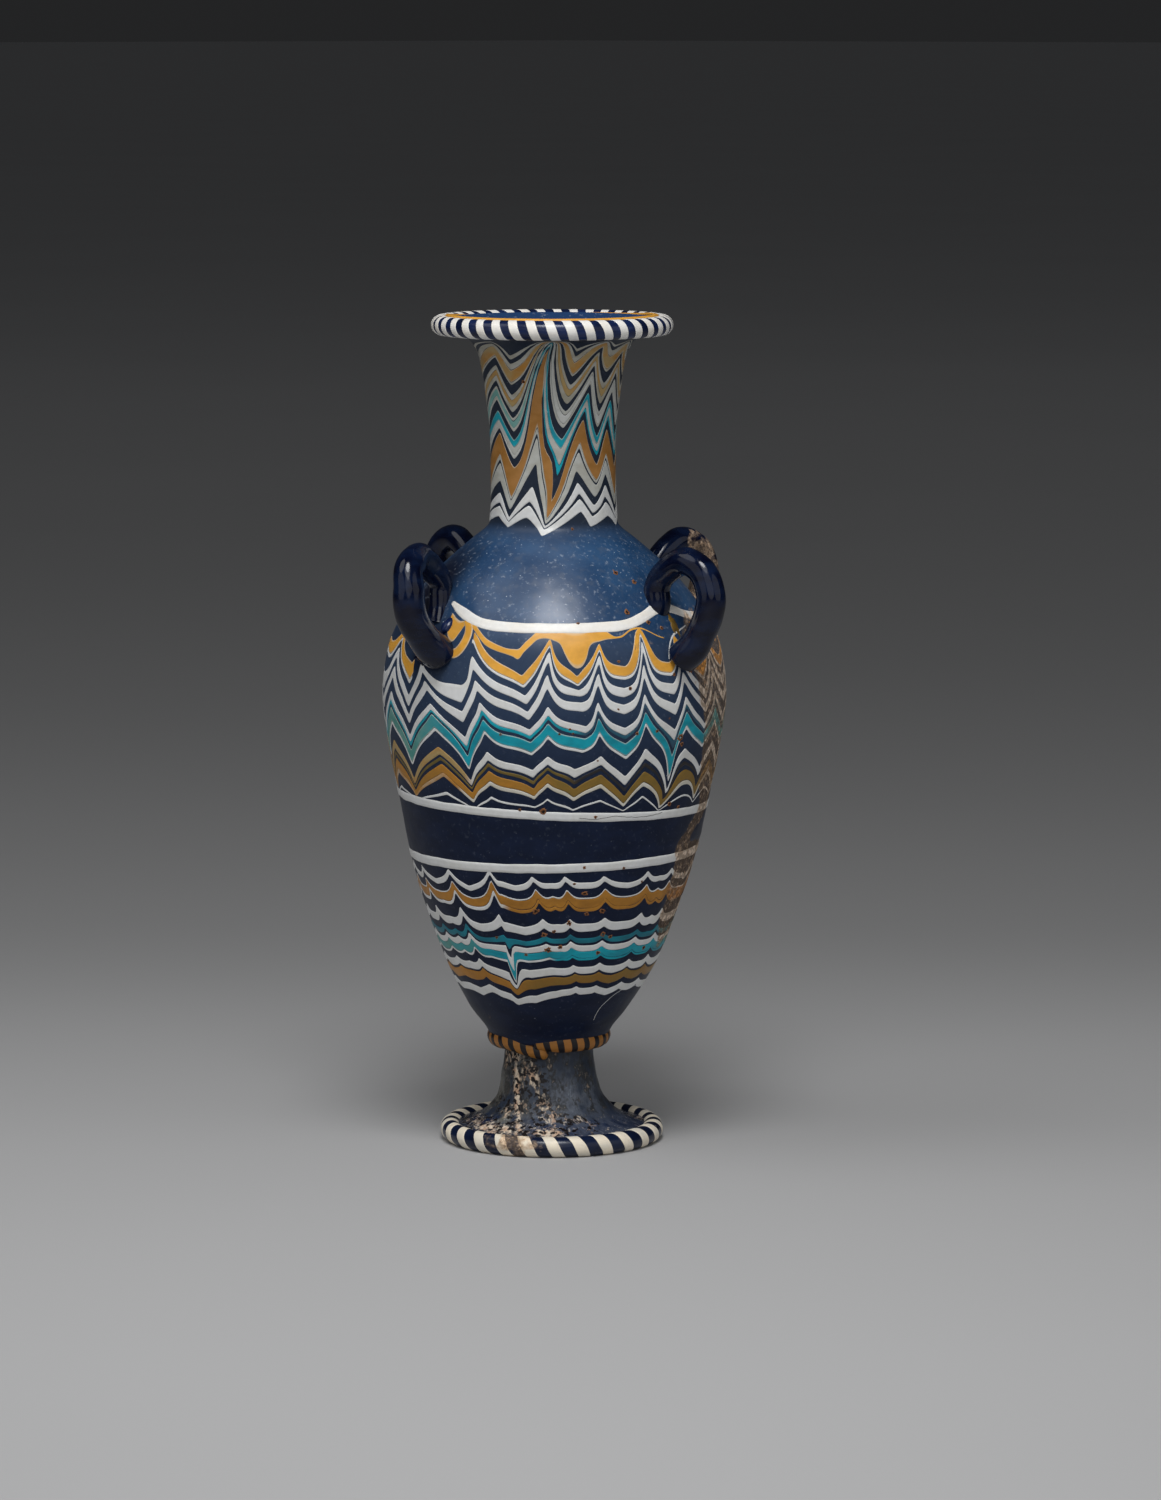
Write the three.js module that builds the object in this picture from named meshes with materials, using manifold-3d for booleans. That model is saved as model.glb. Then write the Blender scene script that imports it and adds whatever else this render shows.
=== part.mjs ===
// Four-handled core-formed glass flask on a pedestal foot, with combed trails.
// Millimetres, +Z up. The origin is the middle of the face that the foot cord stands on.
// Azimuth 0 looks from the -Y side and grows towards +X.

import * as THREE from 'three';
import { mergeVertices } from 'three/addons/utils/BufferGeometryUtils.js';
import Module from 'manifold-3d';

const wasm = await Module();
wasm.setup();

// Driving dimensions
const CLEARANCE = 0.3;
const WALL_BOTTOM = 18.0;
const WALL_COLUMNS = 32;
const RING_COLUMNS = 36;

// Outer surface of body, shoulder, neck and lip, as radius and height
const SURFACE = [
  [10.1, 18.0], [11.2, 20.2], [14.2, 24.2], [18.9, 33.0], [24.1, 47.7], [27.4, 62.5],
  [29.35, 73.0], [29.85, 79.8], [28.55, 87.7], [25.4, 93.6], [20.4, 99.8], [14.8, 104.9],
  [11.5, 107.6], [11.0, 109.4], [10.8, 115.0], [10.85, 123.6], [11.4, 129.0], [12.4, 135.9],
  [13.4, 138.6], [15.0, 140.3], [17.0, 141.1],
];

// Inner surface, from the lip down to the floor of the hollow
const HOLLOW = [
  [17.1, 141.6], [16.4, 142.0], [13.0, 141.6], [10.3, 139.7], [8.5, 136.5], [7.6, 130.0],
  [7.6, 110.4], [8.4, 106.4], [14.4, 101.0], [21.2, 94.2], [25.3, 83.0], [25.2, 72.6],
  [22.3, 58.8], [17.2, 43.2], [11.0, 30.0], [6.8, 25.2], [0, 24.0],
];

// Stretches of the wall, from height to height in so many steps; sunk ones carry trails
const SUNK = 0.75;
const TRAIL_DEPTH = 0.3;
const WALL_STRETCHES = [
  { from: 18.0, to: 25.8, steps: 3, sunk: 0 },
  { from: 25.8, to: 52.9, steps: 5, sunk: SUNK },
  { from: 52.9, to: 58.4, steps: 1, sunk: 0 },
  { from: 58.4, to: 96.6, steps: 8, sunk: SUNK },
  { from: 96.6, to: 108.4, steps: 4, sunk: 0 },
  { from: 108.4, to: 129.0, steps: 3, sunk: SUNK },
  { from: 129.0, to: 139.4, steps: 6, sunk: SUNK },
  { from: 139.4, to: 141.1, steps: 2, sunk: 0 },
];

// Cords and threads: ring radius, height of the middle, and half thickness
const RIM_CORD = { radius: 19.17, height: 142.34, half: 1.66, sides: 10, columns: 40 };
const RIM_THREAD = { radius: 16.7, height: 143.05, half: 0.62, sides: 6, columns: 36 };
const FOOT_CORD = { radius: 17.73, height: 1.6, half: 1.75, sides: 12, columns: 36 };

// Handle centreline as distance from the axis and height, and rod radius at each point
const HANDLE_LINE = [
  [21.6, 92.6], [23.6, 95.4], [23.6, 98.4], [25.4, 101.0], [29.6, 103.3], [33.6, 101.9],
  [35.6, 98.2], [35.0, 94.0], [32.9, 90.2], [30.2, 87.1], [26.8, 84.4],
];
const HANDLE_RADIUS = 2.4;
const HANDLE_BASE_RADIUS = 2.75;
const HANDLE_SIDES = 8;
const HANDLE_STEPS = 18;
const HANDLES = {
  handle_front_left: -1,
  handle_front_right: 93,
  handle_back_right: 175,
  handle_back_left: -95,
};

// Glass colours
const COLOURS = {
  navy: 0x16234a,
  white: 0xd9d8cf,
  amber: 0xb87a2c,
  turquoise: 0x1793a4,
  teal: 0x1c5c70,
};

// Azimuths of the strokes that combed the trails up, and of the ones down between them
const BELLY_UP = [-26, 1, 21, 43, 60, 77, 95, 114, 134, 154, 174, 194, 214, 234, 254, 274, 294, 314];
const BELLY_DOWN = [-12, 13, 36, 54, 69, 88, 106, 124, 144, 164, 184, 204, 224, 244, 264, 284, 304, 324];
const LOWER_UP = [-16, 2, 21, 40, 52, 68, 87, 103, 122, 142, 162, 182, 202, 222, 242, 262, 282, 302, 323];
const LOWER_DOWN = [-7, 11, 31, 46, 60, 78, 95, 112, 132, 152, 172, 192, 212, 232, 252, 272, 292, 312, 333];
const NECK_UP = [-12, 30, 70, 104, 148, 190, 232, 274, 310];
const NECK_DOWN = [6, 49, 89, 126, 170, 212, 254, 292, 328];

// Height of a straight trail, and where an up stroke and a down stroke bring it
const BELLY_COMB = [
  [62.4, 62.9, 62.1], [66.0, 67.0, 63.9], [69.0, 70.5, 66.6], [73.8, 76.6, 72.0],
  [77.0, 80.4, 75.4], [81.0, 85.2, 79.7], [84.0, 88.6, 82.9], [87.0, 90.3, 86.0], [90.2, 91.3, 88.8],
];
const LOWER_COMB = [
  [27.8, 28.4, 27.4], [32.0, 32.8, 31.6], [34.5, 35.4, 34.1], [37.3, 38.4, 36.8],
  [40.0, 41.0, 39.6], [43.7, 45.0, 43.2], [46.2, 48.0, 45.7], [48.8, 49.9, 48.4],
];
const NECK_COMB = [
  [109.4, 109.8, 108.9], [111.3, 112.6, 109.6], [114.0, 117.0, 111.4], [119.5, 123.2, 115.9],
  [123.5, 128.2, 120.8], [128.0, 133.2, 125.4], [132.5, 136.6, 130.2], [137.2, 139.2, 135.4],
];

// Combed trails as top and bottom height before combing
const TRAILS = [
  { up: NECK_UP, down: NECK_DOWN, comb: NECK_COMB, trails: {
    neck_trail_amber_top: ['amber', 137.0, 135.6],
    neck_trail_pale: ['white', 133.6, 131.0],
    neck_trail_turquoise: ['turquoise', 129.4, 127.0],
    neck_trail_white_middle: ['white', 124.9, 122.6],
    neck_trail_amber_broad: ['amber', 120.4, 116.4],
    neck_trail_white_low: ['white', 115.2, 113.4],
    neck_trail_white_base: ['white', 112.2, 110.2],
  } },
  { up: BELLY_UP, down: BELLY_DOWN, comb: BELLY_COMB, trails: {
    belly_trail_amber_garland: ['amber', 90.2, 89.2],
    belly_trail_amber_upper: ['amber', 87.2, 85.1],
    belly_trail_white_1: ['white', 83.9, 82.3],
    belly_trail_white_2: ['white', 81.0, 79.3],
    belly_trail_white_3: ['white', 77.2, 76.0],
    belly_trail_turquoise: ['turquoise', 75.3, 72.3],
    belly_trail_white_4: ['white', 69.7, 68.5],
    belly_trail_amber_lower: ['amber', 67.4, 64.6],
    belly_trail_white_fine: ['white', 63.4, 62.6],
  } },
  { up: LOWER_UP, down: LOWER_DOWN, comb: LOWER_COMB, trails: {
    lower_trail_white_1: ['white', 48.8, 47.7],
    lower_trail_amber_1: ['amber', 46.2, 43.8],
    lower_trail_white_2: ['white', 41.6, 40.0],
    lower_trail_teal: ['teal', 38.75, 37.8],
    lower_trail_turquoise: ['turquoise', 37.3, 34.6],
    lower_trail_white_3: ['white', 33.6, 32.2],
    lower_trail_amber_2: ['amber', 31.7, 30.1],
    lower_trail_white_4: ['white', 29.5, 27.9],
  } },
];

// Plain white bands: middle height and how it wanders with the azimuth
const HANDLE_RISE = 2.4;
const HANDLE_RISE_SPREAD = 14;
const BANDS = {
  shoulder_band: { half: 0.82, middle: (azimuth) => 92.7 + HANDLE_RISE * nearHandle(azimuth) },
  girdle_band_upper: { half: 0.78, middle: (azimuth) => 60.45 - 0.55 * sine(azimuth - 45) },
  girdle_band_lower: { half: 0.84, middle: (azimuth) => 51.36 + 0.3 * sine(azimuth - 45) },
};
const BAND_LIFT = 0.12;

const surfacePoints = new THREE.SplineCurve(SURFACE.map(([r, z]) => new THREE.Vector2(r, z))).getPoints(260);

function sine(degrees) {
  return Math.sin(THREE.MathUtils.degToRad(degrees));
}

// 1 beside a handle, falling to 0 midway between two
function nearHandle(azimuth) {
  const distances = Object.values(HANDLES).map((handle) => {
    const turn = THREE.MathUtils.euclideanModulo(azimuth - handle + 180, 360) - 180;
    return Math.abs(turn);
  });
  return Math.exp(-((Math.min(...distances) / HANDLE_RISE_SPREAD) ** 2));
}

function surfaceRadius(height) {
  const above = Math.max(1, surfacePoints.findIndex((point) => point.y >= height));
  const [low, high] = [surfacePoints[above - 1], surfacePoints[above]];
  return low.x + (high.x - low.x) * (height - low.y) / (high.y - low.y);
}

function place(azimuth, radius, height) {
  const angle = THREE.MathUtils.degToRad(azimuth);
  return new THREE.Vector3(radius * Math.sin(angle), -radius * Math.cos(angle), height);
}

function interpolate(rows, height, column) {
  let k = 1;
  while (k < rows.length - 1 && rows[k][0] < height) k += 1;
  const share = (height - rows[k - 1][0]) / (rows[k][0] - rows[k - 1][0]);
  return rows[k - 1][column] + share * (rows[k][column] - rows[k - 1][column]);
}

function material(colour, roughness = 0.3) {
  return new THREE.MeshStandardMaterial({ color: COLOURS[colour], roughness, metalness: 0 });
}

function piece(name, geometry, colour, roughness) {
  const mesh = new THREE.Mesh(geometry, material(colour, roughness));
  mesh.name = name;
  return mesh;
}

// Solid of revolution about Z from a profile of [radius, height] points
function turned(profile, columns) {
  const points = profile.map(([radius, height]) => new THREE.Vector2(radius, height));
  return new THREE.LatheGeometry(points, columns).rotateX(Math.PI / 2);
}

// Closed surface through sections of equal point count; either a full ring or capped at both ends
function skinned(sections, ring) {
  const sides = sections[0].length;
  const positions = sections.flat().flatMap((point) => [point.x, point.y, point.z]);
  const index = [];
  const spans = ring ? sections.length : sections.length - 1;
  for (let i = 0; i < spans; i += 1) {
    const here = i * sides;
    const next = ((i + 1) % sections.length) * sides;
    for (let j = 0; j < sides; j += 1) {
      const k = (j + 1) % sides;
      index.push(here + j, next + j, here + k, next + k, here + k, next + j);
    }
  }
  if (!ring) {
    const last = (sections.length - 1) * sides;
    for (let j = 1; j < sides - 1; j += 1) {
      index.push(0, j, j + 1, last, last + j + 1, last + j);
    }
  }
  const geometry = new THREE.BufferGeometry();
  geometry.setAttribute('position', new THREE.Float32BufferAttribute(positions, 3));
  geometry.setIndex(index);
  geometry.computeVertexNormals();
  return geometry;
}

function toSolid(geometry) {
  const bare = geometry.clone();
  bare.deleteAttribute('normal');
  const merged = mergeVertices(bare, 1e-4);
  return new wasm.Manifold(new wasm.Mesh({
    numProp: 3,
    vertProperties: new Float32Array(merged.attributes.position.array),
    triVerts: new Uint32Array(merged.index.array),
  }));
}

function fromSolid(solid) {
  const mesh = solid.getMesh();
  const geometry = new THREE.BufferGeometry();
  geometry.setAttribute('position', new THREE.BufferAttribute(mesh.vertProperties, 3));
  geometry.setIndex(new THREE.BufferAttribute(mesh.triVerts, 1));
  geometry.computeVertexNormals();
  return geometry;
}

function vesselWall() {
  const outer = [[0, WALL_BOTTOM]];
  for (const { from, to, steps, sunk } of WALL_STRETCHES) {
    for (let k = 0; k <= steps; k += 1) {
      const height = from + (to - from) * k / steps;
      outer.push([surfaceRadius(height) - sunk, height]);
    }
  }
  return piece('vessel_wall', turned([...outer, ...HOLLOW], WALL_COLUMNS), 'navy', 0.25);
}

// One glass thread laid round the wall, as columns of azimuth, top and bottom
function trailRing(name, columns, colour, lift = 0) {
  const sections = columns.map(({ azimuth, top, bottom }) => [
    place(azimuth, surfaceRadius(bottom) + lift, bottom),
    place(azimuth, surfaceRadius(top) + lift, top),
    place(azimuth, surfaceRadius(top) - TRAIL_DEPTH, top),
    place(azimuth, surfaceRadius(bottom) - TRAIL_DEPTH, bottom),
  ]);
  return piece(name, skinned(sections, true), colour);
}

// Column at each stroke; on the neck one more midway, where the trail keeps its height
function combedColumns({ up, down, comb }, top, bottom) {
  const columns = [];
  up.forEach((azimuth, k) => {
    columns.push({ azimuth, top: interpolate(comb, top, 1), bottom: interpolate(comb, bottom, 1) });
    columns.push({ azimuth: down[k], top: interpolate(comb, top, 2), bottom: interpolate(comb, bottom, 2) });
  });
  if (up !== NECK_UP) return columns;
  return columns.flatMap((column, k) => {
    const next = columns[(k + 1) % columns.length];
    const gap = THREE.MathUtils.euclideanModulo(next.azimuth - column.azimuth, 360);
    return [column, { azimuth: column.azimuth + gap / 2, top, bottom }];
  });
}

function combedTrails() {
  return TRAILS.flatMap((zone) => Object.entries(zone.trails).map(([name, [colour, top, bottom]]) => (
    trailRing(name, combedColumns(zone, top, bottom), colour)
  )));
}

function plainBands() {
  return Object.entries(BANDS).map(([name, { half, middle }]) => {
    const columns = Array.from({ length: RING_COLUMNS }, (_, k) => {
      const azimuth = 360 * k / RING_COLUMNS;
      return { azimuth, top: middle(azimuth) + half, bottom: middle(azimuth) - half };
    });
    return trailRing(name, columns, 'white', BAND_LIFT);
  });
}

function roundProfile({ radius, height, half, sides }) {
  return Array.from({ length: sides + 1 }, (_, k) => {
    const angle = 2 * Math.PI * ((k % sides) + 0.5) / sides;
    return [radius + half * Math.cos(angle), height + half * Math.sin(angle)];
  });
}

function rimCord() {
  return piece('rim_cord', turned(roundProfile(RIM_CORD), RIM_CORD.columns), 'navy');
}

function rimThread() {
  return piece('rim_amber_thread', turned(roundProfile(RIM_THREAD), RIM_THREAD.columns), 'amber');
}

// The foot cord is round but for the ring that it stands on
function footCord() {
  const profile = roundProfile(FOOT_CORD).map(([radius, height]) => [radius, Math.max(0, height)]);
  return piece('foot_cord', turned(profile, FOOT_CORD.columns), 'white', 0.5);
}

// The collar cord fills the corner between the pedestal and the bottom of the wall
function collarCord() {
  const profile = [
    [7.95, 15.95], [8.5, 15.65], [9.4, 15.65], [10.2, 16.1], [10.65, 16.8], [10.8, 17.6],
    [10.75, 18.2], [10.45, 17.7], [7.95, 17.65], [7.95, 15.95],
  ];
  return piece('collar_cord', turned(profile, 28), 'amber');
}

function footPedestal() {
  const profile = [
    [0, 2.4], [11.5, 1.3], [14.2, 0.6], [15.5, 0.8], [15.6, 2.6], [14.2, 3.4], [12.1, 4.4], [10.5, 5.9],
    [9.2, 7.7], [8.5, 10.1], [7.7, 15.3], [7.55, 17.7], [0, 17.7],
  ];
  return piece('foot_pedestal', turned(profile, WALL_COLUMNS), 'navy', 0.6);
}

// Band round the shoulder with the wall's outline, kept clear of what is fixed to it
function shoulderCutter() {
  const [low, high, core, steps] = [76, 106, 5, 15];
  const section = Array.from({ length: steps + 1 }, (_, k) => {
    const height = low + (high - low) * k / steps;
    return [surfaceRadius(height) + CLEARANCE + BAND_LIFT, height];
  });
  const outline = [...section, [core, high], [core, low]];
  const sections = Array.from({ length: WALL_COLUMNS * 2 }, (_, k) => (
    outline.map(([radius, height]) => place(180 * k / WALL_COLUMNS, radius, height))
  ));
  return toSolid(skinned(sections, true));
}

// Bent rod in the plane of its azimuth, thicker where its lower end is pressed on
function handleRod(azimuth) {
  const line = new THREE.CatmullRomCurve3(HANDLE_LINE.map(([out, height]) => new THREE.Vector3(out, 0, height)));
  const sections = Array.from({ length: HANDLE_STEPS + 1 }, (_, k) => {
    const share = k / HANDLE_STEPS;
    const middle = line.getPointAt(share);
    const tangent = line.getTangentAt(share);
    const swell = Math.max(0, (share - 0.75) / 0.25) ** 2;
    const radius = HANDLE_RADIUS + (HANDLE_BASE_RADIUS - HANDLE_RADIUS) * swell;
    return Array.from({ length: HANDLE_SIDES }, (__, j) => {
      const angle = 2 * Math.PI * j / HANDLE_SIDES;
      const out = middle.x - tangent.z * radius * Math.cos(angle);
      const height = middle.z + tangent.x * radius * Math.cos(angle);
      const across = radius * Math.sin(angle);
      const turn = THREE.MathUtils.degToRad(azimuth);
      return new THREE.Vector3(
        out * Math.sin(turn) + across * Math.cos(turn),
        -out * Math.cos(turn) + across * Math.sin(turn),
        height,
      );
    });
  });
  return toSolid(skinned(sections, false));
}

function handles() {
  const cutter = shoulderCutter();
  return Object.entries(HANDLES).map(([name, azimuth]) => (
    piece(name, fromSolid(handleRod(azimuth).subtract(cutter)), 'navy', 0.15)
  ));
}

const flask = new THREE.Group();
flask.name = 'combed_glass_flask';
flask.add(vesselWall(), rimCord(), rimThread(), footPedestal(), footCord(), collarCord());
flask.add(...handles(), ...plainBands(), ...combedTrails());

export default flask;
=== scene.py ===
"""Looks of the four-handled combed glass flask: fine surfaces, trails, cords, weathering, light and camera."""

import bisect
from collections import namedtuple
from math import ceil, cos, degrees, exp, pi, radians, sin, sqrt

import bmesh
import bpy
from mathutils import Matrix, Vector, noise


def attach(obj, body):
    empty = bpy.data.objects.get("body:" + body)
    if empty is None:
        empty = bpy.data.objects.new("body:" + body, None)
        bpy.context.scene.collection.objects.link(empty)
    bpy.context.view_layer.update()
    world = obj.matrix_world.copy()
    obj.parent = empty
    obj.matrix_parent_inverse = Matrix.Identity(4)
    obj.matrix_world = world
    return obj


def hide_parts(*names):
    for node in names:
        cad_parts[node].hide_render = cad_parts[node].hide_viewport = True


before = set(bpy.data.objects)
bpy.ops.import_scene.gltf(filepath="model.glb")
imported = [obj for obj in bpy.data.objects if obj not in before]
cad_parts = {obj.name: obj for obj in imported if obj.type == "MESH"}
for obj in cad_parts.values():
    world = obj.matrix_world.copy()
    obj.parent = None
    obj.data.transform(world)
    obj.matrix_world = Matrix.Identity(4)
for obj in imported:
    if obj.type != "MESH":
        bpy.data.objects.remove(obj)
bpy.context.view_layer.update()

MM = 0.001

# The photograph's camera: azimuth of its place, distance, height, tilt and turn, all for the real size
VIEW_AZIMUTH = 45.0
CAMERA_DISTANCE = 962.08
CAMERA_HEIGHT = 194.15
CAMERA_TILT = 7.444
CAMERA_TURN = 0.297
CAMERA_LENS = 133.86
SENSOR_HEIGHT = 36.0

# Level directions as the photograph's camera sees them
VIEW = radians(VIEW_AZIMUTH)
RIGHT = Vector((cos(VIEW), sin(VIEW), 0))
FRONT = Vector((sin(VIEW), -cos(VIEW), 0))
UP = Vector((0, 0, 1))

# Outer surface of body, shoulder, neck and lip, as radius and height in mm
SURFACE = [
    (10.1, 18), (11.2, 20.2), (14.2, 24.2), (18.9, 33), (24.1, 47.7), (27.4, 62.5), (29.35, 73), (29.85, 79.8),
    (28.55, 87.7), (25.4, 93.6), (20.4, 99.8), (14.8, 104.9), (11.5, 107.6), (11, 109.4), (10.8, 115),
    (10.85, 123.6), (11.4, 129), (12.4, 135.9), (13.4, 138.6), (15, 140.3), (17.6, 141.2),
]
# Lip and inner surface, down to the floor of the hollow
HOLLOW = [
    (18.7, 142.6), (18.35, 143.3), (17.8, 143.6), (16.9, 143.2), (15, 142.4), (12.6, 141.5), (10.3, 139.7),
    (8.6, 136.5), (7.8, 131), (7.6, 122), (7.6, 111), (8.6, 106.4), (14.4, 101), (21.2, 94.2), (25.3, 83),
    (25.2, 72.6), (22.3, 58.8), (17.2, 43.2), (11, 30), (6.8, 25.2), (0, 24),
]

# Cords and threads: ring radius, height of the middle and half thickness in mm
RIM_CORD = (19.17, 142.34, 1.66)
RIM_THREAD = (18, 143.45, 0.42)
FOOT_CORD = (17.73, 1.72, 1.75)
COLLAR_CORD = (8.95, 18.05, 1.95)

# Handles: azimuth, half thickness of the leg on the shoulder and of the rest, turn askew as (share of the
# length, degrees), and the bend as distance from the axis and height, which has the same start on three of them
HANDLE_START = [(21.6, 92.6), (23.6, 95.4), (23.6, 98.4), (25.4, 101), (29.6, 103.3), (33.6, 101.9), (35.6, 98.2)]
STRAIGHT = [(0, 0), (1, 0)]
Handle = namedtuple("Handle", "azimuth inner rod askew bend")
HANDLES = {
    "handle_front_left": Handle(1.5, 1.95, 2.65, [(0, -9), (0.22, -12.5), (0.36, -11.5), (0.5, -3.5), (0.62, 0)], [
        (24.8, 92.2), (24.1, 94.4), (23.6, 96.8), (23.6, 99.2), (25.8, 101.7), (30, 103.9), (34.1, 102.6),
        (35.6, 98.6), (35.1, 94.6), (32.9, 91.5), (30.6, 89.2), (28.5, 87.6),
    ]),
    "handle_front_right": Handle(93, 2.2, 2.5, STRAIGHT, [
        *HANDLE_START, (35.1, 94.6), (33.6, 91.6), (31.7, 88.8), (29.4, 86.9),
    ]),
    "handle_back_right": Handle(176.4, 2.2, 2.45, STRAIGHT, [
        *HANDLE_START, (35, 94), (32.9, 90.2), (30.2, 87.1), (27.6, 85),
    ]),
    "handle_back_left": Handle(-98.9, 2.2, 2.45, STRAIGHT, [
        *HANDLE_START, (35, 94), (32.9, 90.2), (30.2, 87.1), (27.6, 85),
    ]),
}

# How far the vessel's middle strays to the photograph's right at each height, in mm
LEAN = [(0, 0), (16, -0.6), (24, -0.4), (32, 0), (48, 0.25), (66, 0.5), (88, 0.5), (108, 0.35), (144, 0.1)]

# Combing strokes of each zone. A stroke has its track as (height, angle from the photograph's side),
# its pull in mm at each level, up or down, and how sharply the pull fades to its left and right.
# The levels are heights before combing.
Stroke = namedtuple("Stroke", "track pulls left right", defaults=(None, None))
NECK_LEVELS = [109.9, 111.9, 114.9, 116.8, 121, 124.1, 128.5, 132, 135.9]
NECK_STROKES = [
    Stroke([(108, -92), (139, -88)], [-1, -1.4, -1.6, -3, -2.6, -2.4, -2.6, -2, -1.2]),
    Stroke([(107, -60), (112, -58), (120, -57), (125, -57), (130, -56), (137, -50), (140, -46)], [0.5, 1.1, 2.1,
           3.6, 3.1, 1.6, 2.5, 2.6, 2.2]),
    Stroke([(107, -45), (110, -44), (114, -41.5), (118, -38.5), (127, -38), (132, -36.5), (136, -35), (140, -33)],
           [-1.2, -2.6, -3.1, -3.6, -2.7, -2.8, -3, -2.6, -2.2], 1.2, 1.3),
    Stroke([(107, -28), (111, -24), (114, -21), (119, -16), (124, -14.5), (127, -13.5), (130, -12.5), (133, -10.5),
           (136, -7.5), (138, -4.5), (140, 0)], [0.6, 1.7, 6.4, 8.5, 18, 17, 16, 14, 11], [1.2, 1.2, 1.5, 1.6, 3.3,
           3, 3.2, 3, 3.8], [1.5, 1.5, 4.5, 4, 8, 4.5, 2.4, 1.6, 1.2]),
    Stroke([(107, -9.5), (111, -4.5), (115, 1.5), (119, 5.5), (124.5, 8.5), (129, 12), (134, 16), (138, 18)], [-2.3,
           -3.5, -5.8, -7, -8.3, -3, -2, -0.6, -0.8], [1.5, 1.5, 2.5, 3, 4.5, 2, 1.5, 1.2, 1.2], [1.2, 1.2, 1.4,
           1.6, 2.2, 1.4, 1, 1, 1]),
    Stroke([(107, 26), (112, 25), (117.5, 21.5), (121, 24), (125, 27), (128, 29), (132, 32), (137, 36), (140, 40)],
           [1.6, 3.2, 4, 5.8, 5.5, 5.4, 5.2, 5.3, 4], [1.3, 1.3, 1.2, 1, 1.1, 1.3, 1.4, 1.4, 1.4], 1.6),
    Stroke([(107, 33), (111, 39), (115, 42.5), (118, 44), (124, 44), (129, 45), (134, 48.5), (138, 51)], [-1, -0.5,
           -0.8, -0.6, -2.2, -2.2, -2.3, -0.8, 0], 1.4, 1.4),
    Stroke([(107, 60), (113, 54.5), (120, 57), (125, 58), (130, 59.5), (138, 67)], [0.6, 2.6, 3.1, 3.6, 3.6, 3.9,
           3.5, 4, 2.6]),
    Stroke([(108, 74), (139, 82)], [-1.2, -2.2, -2.6, -3.6, -2.8, -2.4, -2.4, -1.6, -1]),
    Stroke([(108, 96), (139, 104)], [0.8, 2.2, 3.4, 4.4, 4.2, 3.4, 3.6, 3.8, 2.6]),
]
BELLY_LEVELS = [62.6, 64.6, 67, 69.2, 72.4, 74.8, 76.5, 79.8, 82.4, 84.7, 86.7]
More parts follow.
